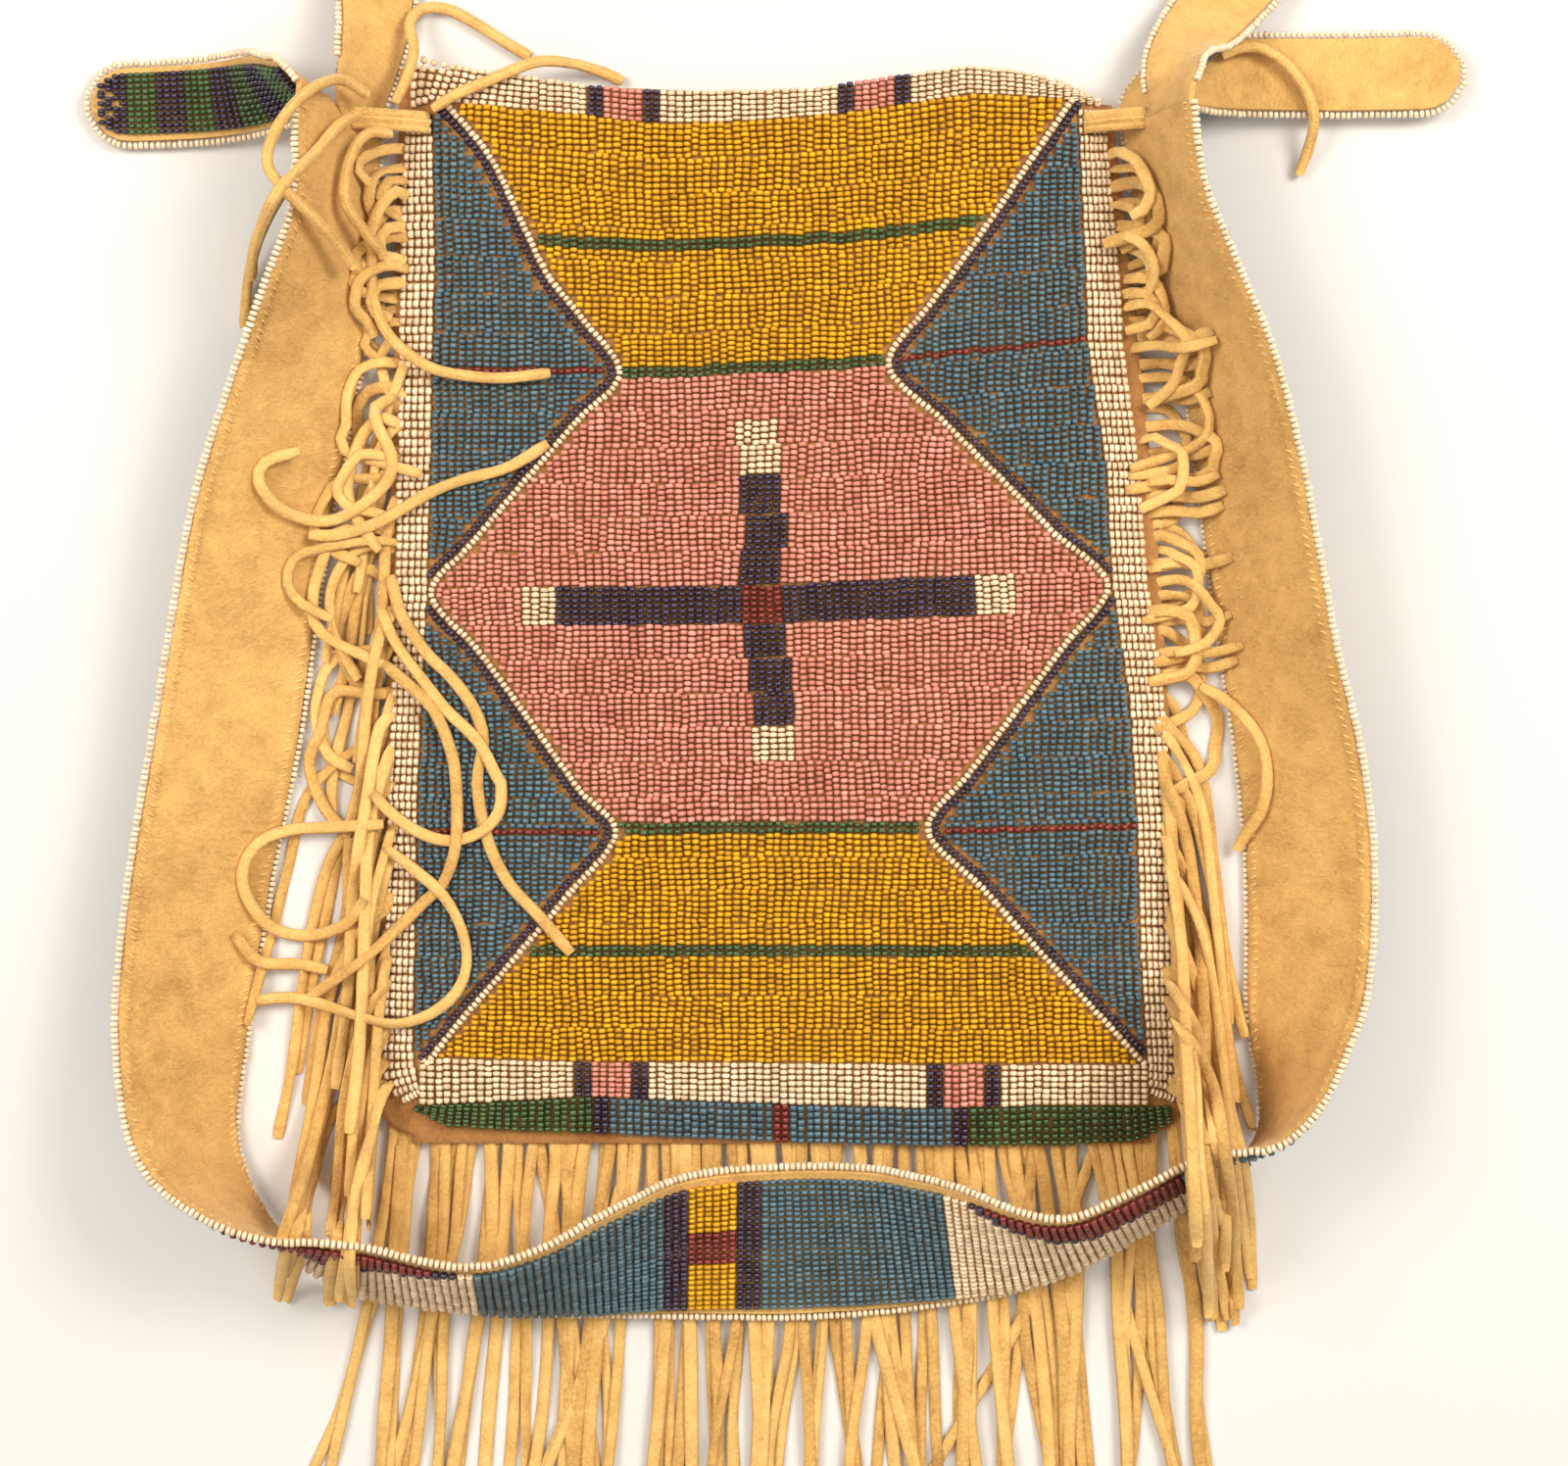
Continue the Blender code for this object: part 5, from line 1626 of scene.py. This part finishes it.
    def _left(self, bundle: StrandBundle) -> None:
        """The left fringe: short hooks above, loops in the middle and long strands below."""
        rng = np.random.default_rng(92)
        order = rng.permutation(66)
        for number in order:
            v = 150 + (number + 0.5) * 14.6 + rng.normal(0, 3)
            u = self._side_u(-1, v) + 3
            width = rng.uniform(2.5, 3.3)
            if v < 360:
                plan = self._hook(rng, u, v, -1, rng.uniform(26, 60), rng.uniform(30, 70), rng.uniform(0.2, 0.7))
            elif v < 720:
                if rng.random() < 0.6:
                    plan = self._hook(rng, u, v, -1, rng.uniform(50, 118), rng.uniform(50, 130), rng.uniform(0.2, 1.0))
                else:
                    plan = self._flow(rng, u, v, -1, rng.uniform(20, 90), rng.uniform(140, 300))
            else:
                out = rng.uniform(30, 150) * (1.1 - (v - 720) / 1000)
                plan = self._flow(rng, u, v, -1, out, min(rng.uniform(260, 420), 1330 - v))
            self._add(bundle, rng, plan, width, 2.4)
        for route in LEFT_OVER:
            self._over(bundle, rng, route, -1)

    def _over(self, bundle: StrandBundle, rng: np.random.Generator, route: tuple, side: int) -> None:
        """A chosen strand on top of the others, without its root sunk in the seam."""
        plan = np.array(route, float)
        self._add(bundle, rng, plan, 3.0, None, roll=0.25, thickness=1.3)

    def _right(self, bundle: StrandBundle) -> None:
        """The right fringe: hooks along the upper half, long strands below."""
        rng = np.random.default_rng(93)
        order = rng.permutation(66)
        for number in order:
            v = 150 + (number + 0.5) * 14.6 + rng.normal(0, 3)
            u = self._side_u(1, v) - 3
            width = rng.uniform(2.6, 3.4)
            if v < 300:
                plan = self._hook(rng, u, v, 1, rng.uniform(22, 60), rng.uniform(26, 60), rng.uniform(0.2, 0.9))
            elif v < 700:
                kind = rng.random()
                if kind < 0.75:
                    plan = self._hook(rng, u, v, 1, rng.uniform(40, 84), rng.uniform(34, 110), rng.uniform(0.2, 1.0))
                else:
                    plan = np.array([(u, v), (u + 30, v - 4), (u + 60, v - 2), (u + rng.uniform(80, 95), v - 10)])
            else:
                out = rng.uniform(20, 95)
                plan = self._flow(rng, u, v, 1, out, min(rng.uniform(240, 460), 1350 - v))
            self._add(bundle, rng, plan, width, 2.4)
        for route in RIGHT_OVER:
            self._over(bundle, rng, route, 1)


THONG_ROUTES = {
    "thong_left_top": ((-82.6, 119.8, 11.8), (-77.0, 122.8, 13.6), (-70.0, 125.6, 14.4), (-62.0, 129.0, 14.6), (-56.0, 131.4, 12.0), (-49.0, 132.0, 6.8), (-42.5, 131.0, 2.8), (-36.6, 128.6, 2.0)),
    "thong_left_loop": ((-91.6, 120.6, 14.6), (-88.6, 127.5, 14.0), (-87.4, 134.5, 11.0), (-88.8, 141.4, 8.0), (-86.4, 145.8, 4.6), (-80.5, 146.6, 2.2), (-74.0, 143.4, 2.0), (-66.6, 138.8, 2.0), (-59.6, 134.6, 2.0)),
    "thong_left_outer": ((-97.6, 121.6, 19.6), (-102.6, 123.4, 27.6), (-107.4, 120.4, 35.4), (-112.6, 114.6, 39.6), (-117.0, 108.6, 38.2), (-118.8, 101.6, 37.4), (-114.2, 94.8, 40.4), (-108.4, 89.4, 34.8), (-103.4, 84.0, 26.6), (-100.6, 79.4, 21.4)),
    "thong_left_long": ((-99.6, 116.6, 21.0), (-103.6, 112.6, 27.0), (-107.4, 105.8, 33.0), (-111.0, 99.6, 40.6), (-115.6, 92.8, 45.0), (-120.2, 87.0, 37.0), (-123.8, 82.0, 28.0), (-125.6, 77.0, 20.0)),
    "thong_left_inner": ((-92.6, 113.2, 14.0), (-97.0, 112.6, 18.6), (-100.2, 108.6, 21.8), (-102.2, 101.6, 24.2), (-102.2, 94.6, 24.0), (-98.4, 88.6, 17.6), (-95.0, 84.4, 12.0)),
    "thong_left_low": ((-93.6, 101.0, 7.4), (-96.8, 92.0, 9.8), (-97.8, 82.0, 10.8), (-97.4, 73.0, 9.0), (-94.0, 65.0, 8.2), (-87.3, 58.8, 11.2), (-79.6, 55.1, 13.6), (-66.5, 53.5, 14.7), (-53.6, 54.7, 14.7)),
    "thong_left_behind": ((-110.1, 106.6, 20.4), (-114.6, 103.4, 19.2), (-118.6, 98.8, 15.8), (-122.6, 94.0, 11.4), (-126.6, 87.6, 7.0), (-129.4, 78.6, 3.6), (-130.6, 67.3, 2.0)),
    "thong_right": ((111.2, 133.8, 7.8), (116.0, 135.6, 8.0), (121.4, 135.2, 8.2), (127.2, 131.2, 8.4), (131.6, 125.4, 8.6), (133.8, 118.4, 8.2), (133.2, 112.0, 5.0), (131.0, 105.4, 2.0)),
}


class Thongs:
    """The free ends of the thongs that tie the corners."""

    width: float = 2.8

    def __init__(self, bench: Bench) -> None:
        """Keeps the bench."""
        self.bench = bench

    def build(self) -> list[bpy.types.Object]:
        """Makes each thong as a lace."""
        finish = Fringe.finish()
        pieces = []
        for number, (name, route) in enumerate(THONG_ROUTES.items()):
            rng = np.random.default_rng(100 + number)
            points = smooth_line(np.array(route), 1.5)
            bundle = StrandBundle(self.bench)
            bundle.strands.append(Strand(points, self.width, 2.1, wander(rng, len(points), 12.0, 0.3)))
            piece = bundle.make(name + "_lace")
            self.bench.enter(piece, finish, "buckskin", name)
            self.width * MM
            pieces.append(piece)
        return pieces


class CornerTies:
    """The wrapped thongs that hold the bag's top corners to the strap."""

    def __init__(self, bench: Bench, strap: Strap) -> None:
        """Keeps the strap that the ties go through."""
        self.bench, self.strap = bench, strap

    def build(self) -> list[bpy.types.Object]:
        """Makes both ties, each of a few laces side by side."""
        pieces = []
        for name, side in (("corner_tie_left", -1), ("corner_tie_right", 1)):
            low, high = (np.array(corner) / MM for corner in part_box(name))
            start = np.array([high[0] if side < 0 else low[0], (low[1] + high[1]) / 2, 8.8])
            end = np.array([low[0] if side < 0 else high[0], (low[1] + high[1]) / 2, high[2] - 2.0])
            bundle = StrandBundle(self.bench)
            for shift, bow in ((-1.5, 0.6), (0.2, 1.0), (1.7, 0.5)):
                middle = (start + end) / 2 + UP * bow
                line = smooth_line(np.array([start - (0, -shift, 1.2), start + (side * -0.5, shift, 0.6), middle + (0, shift, 0.6), end + (0, shift, 0.4), end + (side * 0.6, shift, -1.4)]), 1.2)
                bundle.strands.append(Strand(line, 2.2, 1.5, np.zeros(len(line))))
            piece = bundle.make(name + "_laces")
            self.bench.enter(piece, Fringe.finish(), "buckskin", name)
            pieces.append(piece)
        return pieces


class Studio:
    """Camera, floor and soft lights."""

    def build(self) -> None:
        """Sets up the view, the pale floor and the lights."""
        camera = bpy.data.cameras.new("camera")
        camera.lens, camera.sensor_width = VIEW.lens, 36.0
        camera.clip_start, camera.clip_end = 0.01, 20.0
        holder = bpy.data.objects.new("camera", camera)
        holder.location = np.array(VIEW.eye) * MM
        bpy.context.scene.collection.objects.link(holder)
        bpy.context.scene.camera = holder
        bpy.context.scene.view_settings.view_transform = "Standard"
        Bench.clear()
        bpy.ops.mesh.primitive_plane_add(size=6.0)
        floor = bpy.context.object
        floor.name = "floor"
        tree = NodeTree("pale floor")
        clouds = tree.noise(tree.object_places(), 3.0)
        colour = tree.ramp(clouds, (0.3, (0.70, 0.69, 0.67)), (0.7, (0.74, 0.73, 0.71)))
        tree.feed(tree.shader, {"Base Color": colour, "Roughness": 0.9})
        floor.data.materials.append(tree.material)
        self._light("left light", (-0.62, 0.25, 0.85), 0.45, 7.0)
        self._light("right light", (0.62, 0.35, 0.85), 0.45, 9.0)
        self._light("fill", (0.0, -0.2, 1.6), 1.6, 9.0)
        world = bpy.data.worlds.new("room")
        world.use_nodes = True
        world.node_tree.nodes["Background"].inputs[0].default_value = (1.0, 0.97, 0.93, 1.0)
        world.node_tree.nodes["Background"].inputs[1].default_value = 0.35
        bpy.context.scene.world = world

    @staticmethod
    def _light(name: str, place: tuple[float, float, float], size: float, power: float) -> None:
        """A square soft light that looks at the bag."""
        light = bpy.data.lights.new(name, "AREA")
        light.size, light.energy, light.color = size, power, (1.0, 0.94, 0.86)
        holder = bpy.data.objects.new(name, light)
        holder.location = place
        aim = -np.array(place)
        holder.rotation_mode = "QUATERNION"
        from mathutils import Vector
        holder.rotation_quaternion = Vector(aim).to_track_quat("-Z", "Y")
        bpy.context.scene.collection.objects.link(holder)


def main() -> None:
    """Builds the bag, piece by piece."""
    logging.basicConfig(level=logging.INFO, format="%(message)s")
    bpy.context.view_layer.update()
    Studio().build()
    bench = Bench()
    thongs = Thongs(bench).build()
    mould = BeadMould()
    body = BodyHide(bench)
    back, front = body.back(), body.front()
    front_beads = FrontBeadwork(bench, mould).build()
    strap = Strap(bench, mould)
    strap_pieces = strap.build()
    ties = CornerTies(bench, strap).build()
    pile = Pile((-185.0, -262.0), (185.0, 190.0))
    pile.stamp_body(2.0)
    face = strap.ribbon.resampled(0.5)
    pile.stamp(face.at(np.linspace(-1, 1, 120), np.full((1, 120), -0.9)))
    fringes = Fringe(bench, pile).build()
    log.info("%d thongs, %d ties", len(thongs), len(ties))
    total = 0
    for piece in bench.made:
        piece.data.calc_loop_triangles()
        total += len(piece.data.loop_triangles)
    log.info("%d pieces, %d triangles", len(bench.made), total)


if __name__ == "__main__":
    main()
